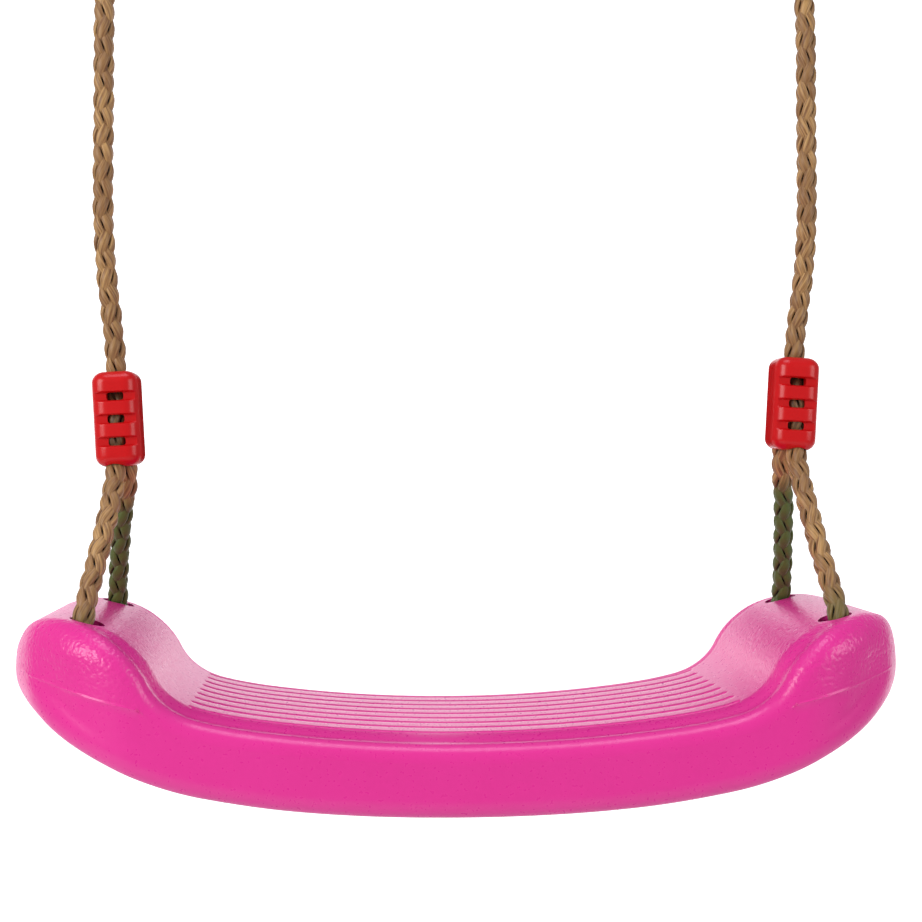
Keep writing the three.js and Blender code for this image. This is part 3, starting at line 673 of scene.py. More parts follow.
@dataclass(frozen=True)
class Studio:
    """Camera, soft lights, a pale floor that curves up into a backdrop, and two black cards."""

    camera_place: tuple[float, float, float] = (-52.4, -832.3, -373.8)
    camera_yaw: float = 3.65
    lens: float = 65.44
    horizon_shift: float = -0.0065
    floor_level: float = -1250.0
    white: tuple[float, float, float] = (1.0, 1.0, 1.0)
    cool_white: tuple[float, float, float] = (0.8, 0.86, 1.0)
    sky_colour: tuple[float, float, float, float] = (0.88, 0.92, 1.0, 1.0)
    sky_strength: float = 0.3
    card_reach: tuple[float, float] = (10.0, 155.0)
    card_place: tuple[float, float] = (150.0, 152.0)
    card_heights: tuple[float, float] = (-430.0, -270.0)

    def build(self) -> None:
        """Makes the camera first, then the lights, the sky, the floor and the cards."""
        self._camera()
        self._lights()
        self._floor()
        self._cards()

    def _camera(self) -> None:
        """A level camera, turned a little to the right."""
        data = bpy.data.cameras.new("camera")
        data.lens = self.lens
        data.shift_y = self.horizon_shift
        camera = bpy.data.objects.new("camera", data)
        camera.location = [value * MM for value in self.camera_place]
        camera.rotation_euler = (math.pi / 2.0, 0.0, -math.radians(self.camera_yaw))
        bpy.context.scene.collection.objects.link(camera)
        bpy.context.scene.camera = camera

    def _lights(self) -> None:
        """Large soft boxes at both sides, a cooler one overhead, and an even pale blue sky."""
        boxes = [
            ("left_box", (-1.3, -1.05, 0.1), 1.0, 20.0, self.white),
            ("right_box", (1.35, -0.95, 0.0), 0.9, 9.5, self.white),
            ("top_box", (-0.1, -0.25, 0.85), 0.7, 6.0, self.cool_white),
        ]
        for name, place, size, power, colour in boxes:
            data = bpy.data.lights.new(name, "AREA")
            data.energy = power
            data.size = size
            data.color = colour
            light = bpy.data.objects.new(name, data)
            light.location = place
            aim = np.array([0.0, 0.0, -0.42]) - np.array(place)
            flat = math.hypot(aim[0], aim[1])
            light.rotation_euler = (
                math.atan2(flat, -aim[2]), 0.0, math.atan2(aim[1], aim[0]) - math.pi / 2.0,
            )
            bpy.context.scene.collection.objects.link(light)
        world = bpy.data.worlds.new("pale_sky")
        world.use_nodes = True
        sky = world.node_tree.nodes["Background"]
        sky.inputs["Color"].default_value = self.sky_colour
        sky.inputs["Strength"].default_value = self.sky_strength
        bpy.context.scene.world = world
        bpy.context.scene.view_settings.view_transform = "Standard"

    def _floor(self) -> None:
        """A sheet: flat floor, a quarter round of one metre, then an upright backdrop.

        The far part glows a little, as a backdrop with its own lamps does.
        """
        angle = np.linspace(0.0, np.pi / 2.0, 17)
        bend = np.column_stack([2500.0 + 1000.0 * np.sin(angle), 1000.0 - 1000.0 * np.cos(angle)])
        profile = np.vstack([[[-3500.0, 0.0]], bend, [[3500.0, 3200.0]]])
        rows = [
            np.column_stack([np.full(len(profile), x), profile[:, 0], profile[:, 1]])
            for x in (-4000.0, 4000.0)
        ]
        points = np.vstack(rows) + [0.0, 0.0, self.floor_level]
        quads = lattice(2, len(profile), wrapped=False)
        floor = add_object("studio_floor", Surface(points, quads))
        material, tree, shader = new_material("studio_floor_paint")
        place = add_node(tree, "ShaderNodeTexCoord").outputs["Object"]
        parts = add_node(tree, "ShaderNodeSeparateXYZ", {"Vector": place})
        glow = add_node(
            tree, "ShaderNodeMapRange",
            {"Value": parts.outputs["Y"], "From Min": 1.0, "From Max": 2.2, "To Max": 0.8},
        )
        shader.inputs["Base Color"].default_value = linear("#FBFBFB")
        shader.inputs["Roughness"].default_value = 0.9
        shader.inputs["Emission Color"].default_value = (1.0, 1.0, 1.0, 1.0)
        tree.links.new(glow.outputs["Result"], shader.inputs["Emission Strength"])
        floor.data.materials.append(material)

    def _cards(self) -> None:
        """Black cards behind the clamps, seen only in reflections, that keep their sides dark."""
        material, _, shader = new_material("black_card")
        shader.inputs["Base Color"].default_value = (0.0, 0.0, 0.0, 1.0)
        shader.inputs["Specular IOR Level"].default_value = 0.0
        near, far = self.card_place
        bottom, top = self.card_heights
        for side in Side:
            inner, outer = sorted(side.value * reach for reach in self.card_reach)
            low, high = (inner, near, bottom), (outer, far, top)
            card = add_object(f"black_card_{side.word}", block(low, high))
            card.data.materials.append(material)
            card.visible_camera = False
            card.visible_diffuse = False
            card.visible_shadow = False


# ---- rope ----


@dataclass
class BraidedRope:
    """One rope: its tail, the eye, the fall to the clamp, and both legs through the seat.

    Four strands wind each way. Where two cross, the strand that turns to the right lies outside
    on every second one of the eight crossing lines, and the other one in between.
    """

    side: Side
    upper: Sequence[Sequence[float]] = (
        (175, -5.4, -136), (175, -5.4, -127), (175, -5.4, -114), (175, -5.5, -102),
        (175, -7.9, -91.5), (175, -12.3, -82), (175, -16.2, -73.2), (175, -17.4, -64.8),
        (175, -14.8, -57.2), (175, -8.8, -51.4), (175, 0, -49.05), (175, 8.8, -51.4),
        (175, 14.8, -57.2), (175, 17.4, -64.8), (175, 16.2, -73.2), (175, 12.3, -82),
        (175, 7.9, -91.5), (175, 5.5, -102), (175, 5.4, -114), (175, 5.4, -127),
        (175, 4.2, -141), (175, 1.6, -156), (175, 0.2, -172), (175, 0, -198),
        (175.3, 0, -228), (175.2, 0, -258), (173.6, 0, -284), (170.9, 0, -306),
        (169.4, 0, -320), (169, 0, -329),
    )
    lower: Sequence[Sequence[float]] = (
        (168.7, 0, -334.6), (168.6, -1.2, -342), (168.6, -3.9, -352), (168.5, -4.9, -362),
        (168.4, -5, -374), (168.9, -8.5, -384), (170.4, -18.5, -400), (173.6, -33.9, -424),
        (176.2, -44.7, -441), (176.9, -49.6, -449), (177.1, -51.6, -457), (176.9, -51.6, -468),
        (175.7, -51, -480.5), (175, -49.5, -488.2), (175, -45.1, -494.7), (175, -38.7, -499),
        (175, -31, -500.5), (175, 0, -500.5), (175, 31, -500.5), (175, 38.7, -499),
        (175, 45.1, -494.7), (175, 49.5, -488.2), (175, 51, -480.5), (175, 51.6, -468),
        (175, 51.6, -457), (174.9, 49.6, -449), (174.2, 44.7, -441), (172, 33.9, -424),
        (168.3, 18.5, -400), (164.8, 8.5, -384), (164.2, 5.2, -374), (164.6, 5.2, -362),
        (165.2, 5.4, -352),
    )
    clamp_top: float = -329.0
    clamp_bottom: float = -375.5
    fade_top: float = -258.0
    fade_bottom: float = -441.0
    diameter: float = 10.0
    lay: float = 70.0
    strand_radius: float = 3.3
    weave: float = 0.95
    half_width: float = 2.75
    half_thickness: float = 1.08
    core_radius: float = 2.5
    spacing: float = 1.3
    section_points: int = 12
    clamp_shade: float = 0.6
    shade_inset: float = 1.0
    shade_fade: float = 3.0

    def route(self, knots: Sequence[Sequence[float]]) -> np.ndarray:
        """Route points on this side, moved up or down with the clamp.

        Near the clamp a point moves as far as the clamp. The move eases to nothing at the two
        fade heights.

        Args:
            knots: Points for the right-hand side, before the move.

        Returns:
            One row for each point, in millimetres.
        """
        points = np.array(knots, float)
        above = 1.0 - ease((points[:, 2] - self.clamp_top) / (self.fade_top - self.clamp_top))
        below = ease((points[:, 2] - self.fade_bottom) / (self.clamp_bottom - self.fade_bottom))
        points[:, 2] += self.side.clamp_raise * np.minimum(above, below)
        points[:, 0] *= self.side.value
        return points

    def centreline(self) -> np.ndarray:
        """The whole rope's middle line at even steps, from its tail to its end in the clamp."""
        knots = self.route([*self.upper, *self.lower])
        return evenly(smooth_curve(knots, 24), self.spacing)

    def _strand(
        self, path: np.ndarray, along: np.ndarray, hand: int, start: float
    ) -> tuple[Surface, np.ndarray, np.ndarray]:
        """One strand's skin, its filament directions and its tone.

        Its middle turns round the path by hand times the length along it over the lay. The
        distance from the path swings by the weave with the cosine of four times that turn, up for
        one hand and down for the other. The section is a flat oval bent round the rope.

        Args:
            path: The rope's centreline.
            along: The length from the tail to each of its points.
            hand: 1 for strands that turn to the right, -1 for the others.
            start: The strand's turn at the tail, in radians.

        Returns:
            The skin, a vector for the filament noise and a colour for each point.
        """
        tangent, across, up = path_axes(path)
        turn = start + hand * 2.0 * np.pi * along / self.lay
        swing = hand * np.cos(4.0 * turn)
        middle = self.strand_radius + self.weave * swing
        slope = math.atan(2.0 * np.pi * (self.strand_radius + self.weave) / self.lay)
        angle = 2.0 * np.pi * np.arange(self.section_points) / self.section_points
        plump = 0.82
        wide = np.sign(np.cos(angle)) * np.abs(np.cos(angle)) ** plump * self.half_width
        high = np.sign(np.sin(angle)) * np.abs(np.sin(angle)) ** plump * self.half_thickness
        end = np.minimum(along, along[-1] - along) / 2.0
        closing = np.sqrt(np.clip(1.0 - (1.0 - np.clip(end, 0.0, 1.0)) ** 2, 0.0025, 1.0))[:, None]
        sideways, outwards = wide[None] * closing, high[None] * closing
        bent = turn[:, None] + sideways * math.cos(slope) / (self.strand_radius + self.weave)
        reach = middle[:, None] + outwards
        lead = -hand * sideways * math.sin(slope) * np.clip(end, 0.0, 1.0)[:, None]
        points = (
            path[:, None]
            + tangent[:, None] * lead[..., None]
            + across[:, None] * (reach * np.cos(bent))[..., None]
            + up[:, None] * (reach * np.sin(bent))[..., None]
        )
        skin = Surface.tube(points)
        number = start * 7.0 + hand * 31.0
        fibre = np.stack(
            [sideways, outwards, np.broadcast_to(along[:, None] / 16.0 + number, reach.shape)],
            axis=-1,
        )
        # Blue share is painted shade: dark where the strand sinks under its neighbour, and inside the
        # clamp.
        depth = np.maximum(ease((self.strand_radius + 1.0 - reach) / 1.8), self._shade(points))
        tone = np.stack(
            [self._olive_share(points), np.full(reach.shape, self._tint(number)), depth,
             np.ones(reach.shape)],
            axis=-1,
        )
        return skin, fibre.reshape(-1, 3), tone.reshape(-1, 4)

    def _olive_share(self, points: np.ndarray) -> np.ndarray:
        """Share of olive: full on the rear leg below the clamp and under the seat, part on both legs
        near the holes.
        """
        y, z = points[..., 1], points[..., 2] - self.side.clamp_raise
        leg = ease((y - 1.0) / 6.0) * ease((-386.0 - z) / 14.0)
        under = ease((-455.0 - z) / 12.0)
        rim = 0.55 * ease((-436.0 - z) / 16.0)
        return np.clip(np.maximum(np.maximum(leg, under), rim), 0.0, 1.0)

    def _shade(self, points: np.ndarray) -> np.ndarray:
        """Share of the dark groove colour inside the clamp, where little light reaches."""
        height = points[..., 2] - self.side.clamp_raise
        below_top = ease((self.clamp_top - self.shade_inset - height) / self.shade_fade)
        above_bottom = ease((height - self.clamp_bottom - self.shade_inset) / self.shade_fade)
        return self.clamp_shade * below_top * above_bottom

    @staticmethod
    def _tint(number: float) -> float:
        """A strand's own share of the darker tan, from 0 to 0.6."""
        return 0.6 * (math.sin(number * 12.9898) * 0.5 + 0.5)

    def build(self, material: bpy.types.Material) -> bpy.types.Object:
        """Args:
            material: The rope's finish.

        Returns:
            The rope.
        """
        path = self.centreline()
        along = np.arange(len(path)) * np.linalg.norm(path[1] - path[0])
        starts = np.arange(4) * np.pi / 2.0
        made = [self._strand(path, along, hand, start) for hand in (1, -1) for start in starts]
        core = round_bar(path[2:-2:3], self.core_radius, 8)
        skin = Surface.together([strand for strand, _, _ in made] + [core])
        rope = add_object(f"braided_rope_{self.side.word}", skin)
        core_count = len(core.points)
        fibre = np.vstack([part for _, part, _ in made] + [np.zeros((core_count, 3))])
        # The core gets full painted shade, since it shows only in the gaps between the strands.
        core_tone = np.column_stack(
            [self._olive_share(core.points), np.zeros(core_count), np.ones(core_count), np.ones(core_count)]
        )
        tone = np.vstack([part for _, _, part in made] + [core_tone])
        along_strand = rope.data.attributes.new("fibre", "FLOAT_VECTOR", "POINT")
        along_strand.data.foreach_set("vector", fibre.astype(np.float32).ravel())
        colours = rope.data.attributes.new("tone", "FLOAT_COLOR", "POINT")
        colours.data.foreach_set("color", tone.astype(np.float32).ravel())
        nodes = [f"rope_upper_{self.side.word}", f"rope_lower_{self.side.word}"]
        finish_piece(rope, material, "", nodes, crease=70.0)
        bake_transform(rope)
        tuple(self.route([self.upper[1]])[0] * MM)
        log.info("%s: %.1f mm long", rope.name, along[-1])
        return rope


# ---- seat ----


class Outline:
    """A smooth line through knots, each with its own heading, in X and Z."""

    def __init__(self, knots: Sequence[tuple[float, float, float]], samples: int = 400) -> None:
        """Joins the knots by cubic Bezier spans.

        The handles lie along the headings. Each is a third of the chord over the squared cosine
        of a quarter of the turn, which keeps a span close to a circle's arc.

        Args:
            knots: X, height and heading in degrees of each knot.
            samples: Points to each span.
        """
        table = np.array(knots, float)
        start, finish = table[:-1, :2], table[1:, :2]
        angle = np.radians(table[:, 2])
        way = np.stack([np.cos(angle), np.sin(angle)], axis=1)
        chord = np.linalg.norm(finish - start, axis=1)
        handle = (chord / 3.0 / np.cos(np.diff(angle) / 4.0) ** 2)[:, None]
        leave, arrive = start + way[:-1] * handle, finish - way[1:] * handle
        t = np.linspace(0.0, 1.0, samples)[None, :, None]
        points = (
            (1 - t) ** 3 * start[:, None]
            + 3 * (1 - t) ** 2 * t * leave[:, None]
            + 3 * (1 - t) * t**2 * arrive[:, None]
            + t**3 * finish[:, None]
        ).reshape(-1, 2)
        slopes = (
            (1 - t) ** 2 * (leave - start)[:, None]
            + 2 * (1 - t) * t * (arrive - leave)[:, None]
            + t**2 * (finish - arrive)[:, None]
        ).reshape(-1, 2)
        steps = np.linalg.norm(np.diff(points, axis=0), axis=1)
        self.lengths = np.concatenate([[0.0], np.cumsum(steps)])
        self.points = points
        self.slopes = unit(slopes)

    @property
    def length(self) -> float:
        """The whole line's length in millimetres."""
        return float(self.lengths[-1])

    def at(self, place: np.ndarray) -> tuple[np.ndarray, np.ndarray]:
        """Points and unit headings at shares of the line's length from 0 to 1."""
        wanted = place * self.length
        point = np.stack([np.interp(wanted, self.lengths, axis) for axis in self.points.T], 1)
        slope = np.stack([np.interp(wanted, self.lengths, axis) for axis in self.slopes.T], 1)
        return point, unit(slope)

    def place_of(self, x: float) -> float:
        """Share of the length at which the line reaches an X."""
        return float(np.interp(x, self.points[:, 0], self.lengths)) / self.length


@dataclass
class SeatShell:
    """The hollow blow-moulded seat, with its bead, grooves, parting line, holes and channel."""

    top_knots: Sequence[tuple[float, float, float]] = (
        (0, 2.6, 0), (80, 7, 6.5), (122, 14, 15), (143, 30, 64), (160, 48.5, 34),
        (184, 56.5, 6), (197, 55.4, -16), (208.5, 46.5, -56), (215, 34, -90),
    )
    low_knots: Sequence[tuple[float, float, float]] = (
        (0, -33.2, 0), (80, -29.4, 6), (120, -23.2, 11), (160, -9.8, 25), (195, 9.5, 38),
        (215, 34, 90),
    )
    half_length: float = 215.0
    half_width: float = 82.5
    edge_round: float = 9.0
    land_half_width: float = 59.0
    bead_knots: Sequence[tuple[float, float]] = (
        (82.5, 10), (82, 6.8), (80.4, 4.1), (78, 2.5), (75.4, 2.0), (73, 2.3), (71.2, 2.7),
        (69.5, 2.6), (68, 2.3), (65.5, 1.5), (62, 0.6), (59, 0),
    )
    bead_fade: tuple[float, float] = (0.63, 0.84)
    nose_start: float = 150.0
    nose_power: float = 2.15
    nose_turn: tuple[float, float] = (0.8, 0.9)
    nose_full_height: float = 32.0
    last_open_place: float = 0.985
    pod_edge_round: float = 15.0
    wall: float = 3.0
    groove_count: int = 9
    groove_pitch: float = 14.2
    groove_reach: float = 1.6
    groove_depth: float = 1.2
    groove_half_length: float = 127.0
    ridge_height: float = 0.4
    ridge_width: float = 0.4
    ridge_end_height: float = 34.0
    ridge_slope: float = 0.24
    hole_x: float = 175.0
    hole_y: float = 51.0
    hole_radius: float = 8.0
    slot_half_span: float = 4.0
    channel_radius: float = 6.7
    channel_ceiling: float = 10.6
    channel_wall: float = 2.5

    def __post_init__(self) -> None:
        """Works the two outlines out from their knots."""
        self.top = Outline(self.top_knots)
        self.low = Outline(self.low_knots)

    def _places(self, stretches: Sequence[tuple[float, float]]) -> np.ndarray:
        """Shares of the outline's length where sections stand.

        Args:
            stretches: For each stretch from the middle outwards, the X that it ends at and the
                step along it in millimetres.

        Returns:
            The shares, from 0 at the middle to 1 at the tip.
        """
        places = [0.0]
        for until, step in stretches:
            begin, end = places[-1], min(1.0, self.top.place_of(until))
            count = max(1, math.ceil((end - begin) * self.top.length / step))
            places += list(np.linspace(begin, end, count + 1)[1:])
        return np.array(places)

    def _skin(
        self, outline: Outline, places: np.ndarray, upward: int, drop: np.ndarray, y: np.ndarray
    ) -> np.ndarray:
        """Points of the seat's skin on the right-hand side.

        A point is the outline's point moved the inward way by the drop. Its distance from the
        middle plane is y times the narrowing of its place.

        Args:
            outline: The top or the bottom outline.
            places: Shares of its length.
            upward: 1 for the top, -1 for the bottom.
            drop: Depth inward, by place and by point across.
            y: Distance from the middle plane before narrowing, of the same shape.

        Returns:
            Points by place, by point across, by X, Y and Z.
        """
        point, slope = outline.at(places)
        square = upward * np.stack([slope[:, 1], -slope[:, 0]], axis=1)
        start, stop = self.nose_turn
        turned = ease((places - start) / (stop - start))[:, None]
        way = unit(square + (upward * self._opposite(places) - square) * turned)
        x = point[:, :1] + way[:, :1] * drop
        z = point[:, 1:] + way[:, 1:] * drop
        narrowed = np.broadcast_to(y * self._narrowing(places)[:, None], x.shape)
        return np.stack([x, narrowed, z], axis=-1)

    def _opposite(self, places: np.ndarray) -> np.ndarray:
        """Directions from the top outline's points to the bottom's, held at the last open place."""
        open_places = np.minimum(places, self.last_open_place)
        return unit(self.low.at(open_places)[0] - self.top.at(open_places)[0])

    def _narrowing(self, places: np.ndarray) -> np.ndarray:
        """Share of the full width: one less the square of the way along the nose, to a root.

        The root is the nose's power, so the ends are superellipses in plan.
        """
        middle = 0.5 * (self.top.at(places)[0][:, 0] + self.low.at(places)[0][:, 0])
        share = (middle - self.nose_start) / (self.half_length - self.nose_start)
        return (1.0 - np.clip(share, 0.0, 1.0) ** 2) ** (1.0 / self.nose_power)

    def _fullness(self, places: np.ndarray) -> np.ndarray:
        """Share of the full edge rounding: the section's height over the nose's full height."""
        height = self.top.at(places)[0][:, 1] - self.low.at(places)[0][:, 1]
        return np.clip(height / self.nose_full_height, 0.0, 1.0)

    def _ridge(self, x: np.ndarray, z: np.ndarray) -> np.ndarray:
        """Height of the parting line's ridge: a bell curve of the height above or below it.

        The line falls inwards from the tip at a steady slope, and fades out at both its ends.
        """
        line = self.ridge_end_height - self.ridge_slope * (self.half_length - x)
        fade = ease((x - 128.0) / 22.0) * ease((209.0 - x) / 8.0)
        return self.ridge_height * fade * np.exp(-(((z - line) / self.ridge_width) ** 2))

    def _rim(self, beaded: np.ndarray, topped: bool) -> tuple[np.ndarray, np.ndarray]:
        """Distance from the middle and drop along one edge, from the face to the land.

        The beaded edge is a smooth curve through the bead's knots. The plain one is a quarter
        circle, wider on the raised ends, and then a flat. The edge lies between the two.

        Args:
            beaded: Share of the beaded edge at each place.
            topped: Whether this is the top, which has the bead.

        Returns:
            The distances and the drops, by place and by point.
        """
        bead = smooth_curve(self.bead_knots, 2)
        count = len(bead)
        turning = 10
        angle = np.pi / 2.0 * np.minimum(np.arange(count) / turning, 1.0)
        flat = np.clip((np.arange(count) - turning) / (count - 1 - turning), 0.0, 1.0)
        share = beaded[:, None]
        turn = self.pod_edge_round + (self.edge_round - self.pod_edge_round) * share
        round_start = self.half_width - turn
        plain_y = round_start + turn * np.cos(angle)
        plain_y -= flat * (round_start - self.land_half_width)
        plain_drop = turn * (1.0 - np.sin(angle))
        if not topped:
            return plain_y, plain_drop
        y = plain_y + (bead[:, 0] - plain_y) * share
        return y, plain_drop + (bead[:, 1] - plain_drop) * share

    def _land(self) -> np.ndarray:
        """Places across the sitting surface, close together at each groove."""
        middles = (np.arange(self.groove_count) - (self.groove_count - 1) / 2.0) * self.groove_pitch
        offsets = np.array([-1.6, -1.1, -0.55, 0.0, 0.55, 1.1, 1.6])
        at_grooves = (middles[:, None] + offsets).ravel()
        between = (middles[:-1, None] + np.array([0.33, 0.67]) * self.groove_pitch).ravel()
        return np.sort(np.concatenate([at_grooves, between]))

    def _groove(self, x: np.ndarray, y: np.ndarray) -> np.ndarray:
        """Depth of the grooves: a smooth step down towards each groove's middle line.

        The distance is to the nearest point of the line, so each groove has a round end.
        """
        number = np.round(y / self.groove_pitch)
        limit = (self.groove_count - 1) / 2.0
        sideways = y - np.clip(number, -limit, limit) * self.groove_pitch
        past = np.clip(x - self.groove_half_length, 0.0, None)
        distance = np.hypot(past, sideways)
        return self.groove_depth * ease(1.0 - distance / self.groove_reach)

    def _outer(self) -> Surface:
        """The outside skin, as rings round the seat from one tip to the other."""
        places = self._places(
            [(118, 5.0), (125, 1.2), (130, 0.6), (160, 1.6), (198, 2.0), (214.4, 1.0), (215, 0.4)]
        )
        fade_start, fade_end = self.bead_fade
        beaded = 1.0 - ease((places - fade_start) / (fade_end - fade_start))
        land = np.broadcast_to(self._land(), (len(places), len(self._land())))
        x = self.top.at(places)[0][:, :1]
        top_y, top_drop = self._across(beaded, True, land, self._groove(x, land))
        low_y, low_drop = self._across(beaded, False, land, np.zeros(land.shape))
        full = self._fullness(places)[:, None]
        return self._closed(places, (top_y, top_drop * full), (low_y, low_drop * full), True)

    def _across(
        self, beaded: np.ndarray, topped: bool, land: np.ndarray, depth: np.ndarray
    ) -> tuple[np.ndarray, np.ndarray]:
        """Distances and drops from the front edge over the land to the back edge."""
        rim_y, rim_drop = self._rim(beaded, topped)
        y = np.hstack([-rim_y[:, :-1], land, rim_y[:, -2::-1]])
        return y, np.hstack([rim_drop[:, :-1], depth, rim_drop[:, -2::-1]])

    def _closed(
        self,
        places: np.ndarray,
        top: tuple[np.ndarray, np.ndarray],
        low: tuple[np.ndarray, np.ndarray],
        outside: bool,
    ) -> Surface:
        """Skin from the top's and the bottom's distances and drops, with faces between them.

        The faces run straight from the top's edge to the bottom's, with close rows where the
        parting line's ridge stands.

        Args:
            places: Shares of the outlines' length.
            top: Distances and drops of the top.
            low: Distances and drops of the bottom, with as many points.
            outside: Whether it is the outside, whose parting line stands proud and whose tips
                are points. The inside ends in flat faces.

        Returns:
            The whole skin of both sides. The outside's tips still have doubled points.
        """
        over = self._skin(self.top, places, 1, top[1], top[0])
        under = self._skin(self.low, places, -1, low[1], low[0])
        tall = np.maximum(over[:, -1, 2] - under[:, -1, 2], 1e-9)
        line = self.ridge_end_height - self.ridge_slope * (self.half_length - over[:, -1, 0])
        middle = np.clip((over[:, -1, 2] - line) / tall, 0.15, 0.85)
        spread = np.minimum(1.2 / tall, 0.1)
        plain_rows = np.linspace(0.0, 1.0, 7)[1:]
        close_rows = np.linspace(-1.0, 1.0, 9)
        start, stop = (middle - spread)[:, None], (middle + spread)[:, None]
        share = np.hstack(
            [
                start * plain_rows[:-1],
                middle[:, None] + spread[:, None] * close_rows,
                stop + (1.0 - stop) * plain_rows[:-1],
            ]
        )[..., None]
        back = over[:, -1:] + (under[:, -1:] - over[:, -1:]) * share
        if outside:
            back[..., 1] += self._ridge(back[..., 0], back[..., 2])
        front = back[:, ::-1] * np.array([1.0, -1.0, 1.0])
        ring = np.concatenate([over, back, under[:, ::-1], front], axis=1)
        left = ring[:0:-1] * np.array([-1.0, 1.0, 1.0])
        whole = np.concatenate([left, ring]) + np.array([0.0, 0.0, SEAT_LEVEL])
        if not outside:
            return Surface.tube(whole)
        rows, columns = whole.shape[:2]
        return Surface(whole.reshape(-1, 3), lattice(rows, columns)).outward()

    def _inner(self) -> Surface:
        """The hollow's skin, one wall inside the outer one."""
        places = self._places([(118, 12.0), (198, 5.0), (206, 3.0)])
        edge = smooth_curve([(79.5, 12), (78.4, 8.8), (75.5, 6.6), (68, 5.6), (60, 4.5), (45, 3.2)], 2)
        land = np.array([30.0, 10.0, -10.0, -30.0])
        y = np.concatenate([edge[:, 0], land, -edge[::-1, 0]])[::-1]
        drop = np.concatenate([edge[:, 1], np.full(4, self.wall), edge[::-1, 1]])
        both = (np.tile(y, (len(places), 1)), np.tile(drop, (len(places), 1)))
        return self._closed(places, both, both, False)

    def _post(self, outline: np.ndarray, x: float, y: float, low: float, high: float) -> Surface:
        """Upright cutter of a flat outline, with its heights above the seat level."""
        return upright(outline, SEAT_LEVEL + low, SEAT_LEVEL + high).moved((x, y, 0.0))

    def build(self, material: bpy.types.Material) -> bpy.types.Object:
        """Makes the hollow shell and cuts its channels, slots and holes.

        Args:
            material: The seat's finish.

        Returns:
            The shell.
        """
        floor, middle, ceiling = -40.0, 35.0, 80.0
        shell = add_object("seat_moulding", self._outer())
        hollow = add_object("hollow", self._inner())
        weld(shell, 0.001)
        weld(hollow, 0.001)
        sleeves, cutters = [], []
        for side in Side:
            x = side.value * self.hole_x
            sleeve = stadium(self.channel_radius + self.channel_wall, self.hole_y, 24)
            top = self.channel_ceiling + self.channel_wall
            sleeves.append(add_object("sleeve", self._post(sleeve, x, 0.0, floor, top)))
            channel = stadium(self.channel_radius, self.hole_y, 24)
            cutters.append(self._post(channel, x, 0.0, floor, self.channel_ceiling))
            for front in (-1, 1):
                hole = circle(self.hole_radius, 48)
                cutters.append(self._post(hole, x, front * self.hole_y, middle, ceiling))
                slot = stadium(self.hole_radius, self.slot_half_span, 24)
                slot_y = front * (self.hole_y - self.slot_half_span)
                cutters.append(self._post(slot, x, slot_y, floor, middle))
        carve(hollow, "DIFFERENCE", sleeves)
        tools = [add_object("cutter", cutter) for cutter in cutters]
        carve(shell, "DIFFERENCE", [hollow, *tools])
        return finish_piece(shell, material, "seat", ["seat_shell"])


# ---- clamp ----


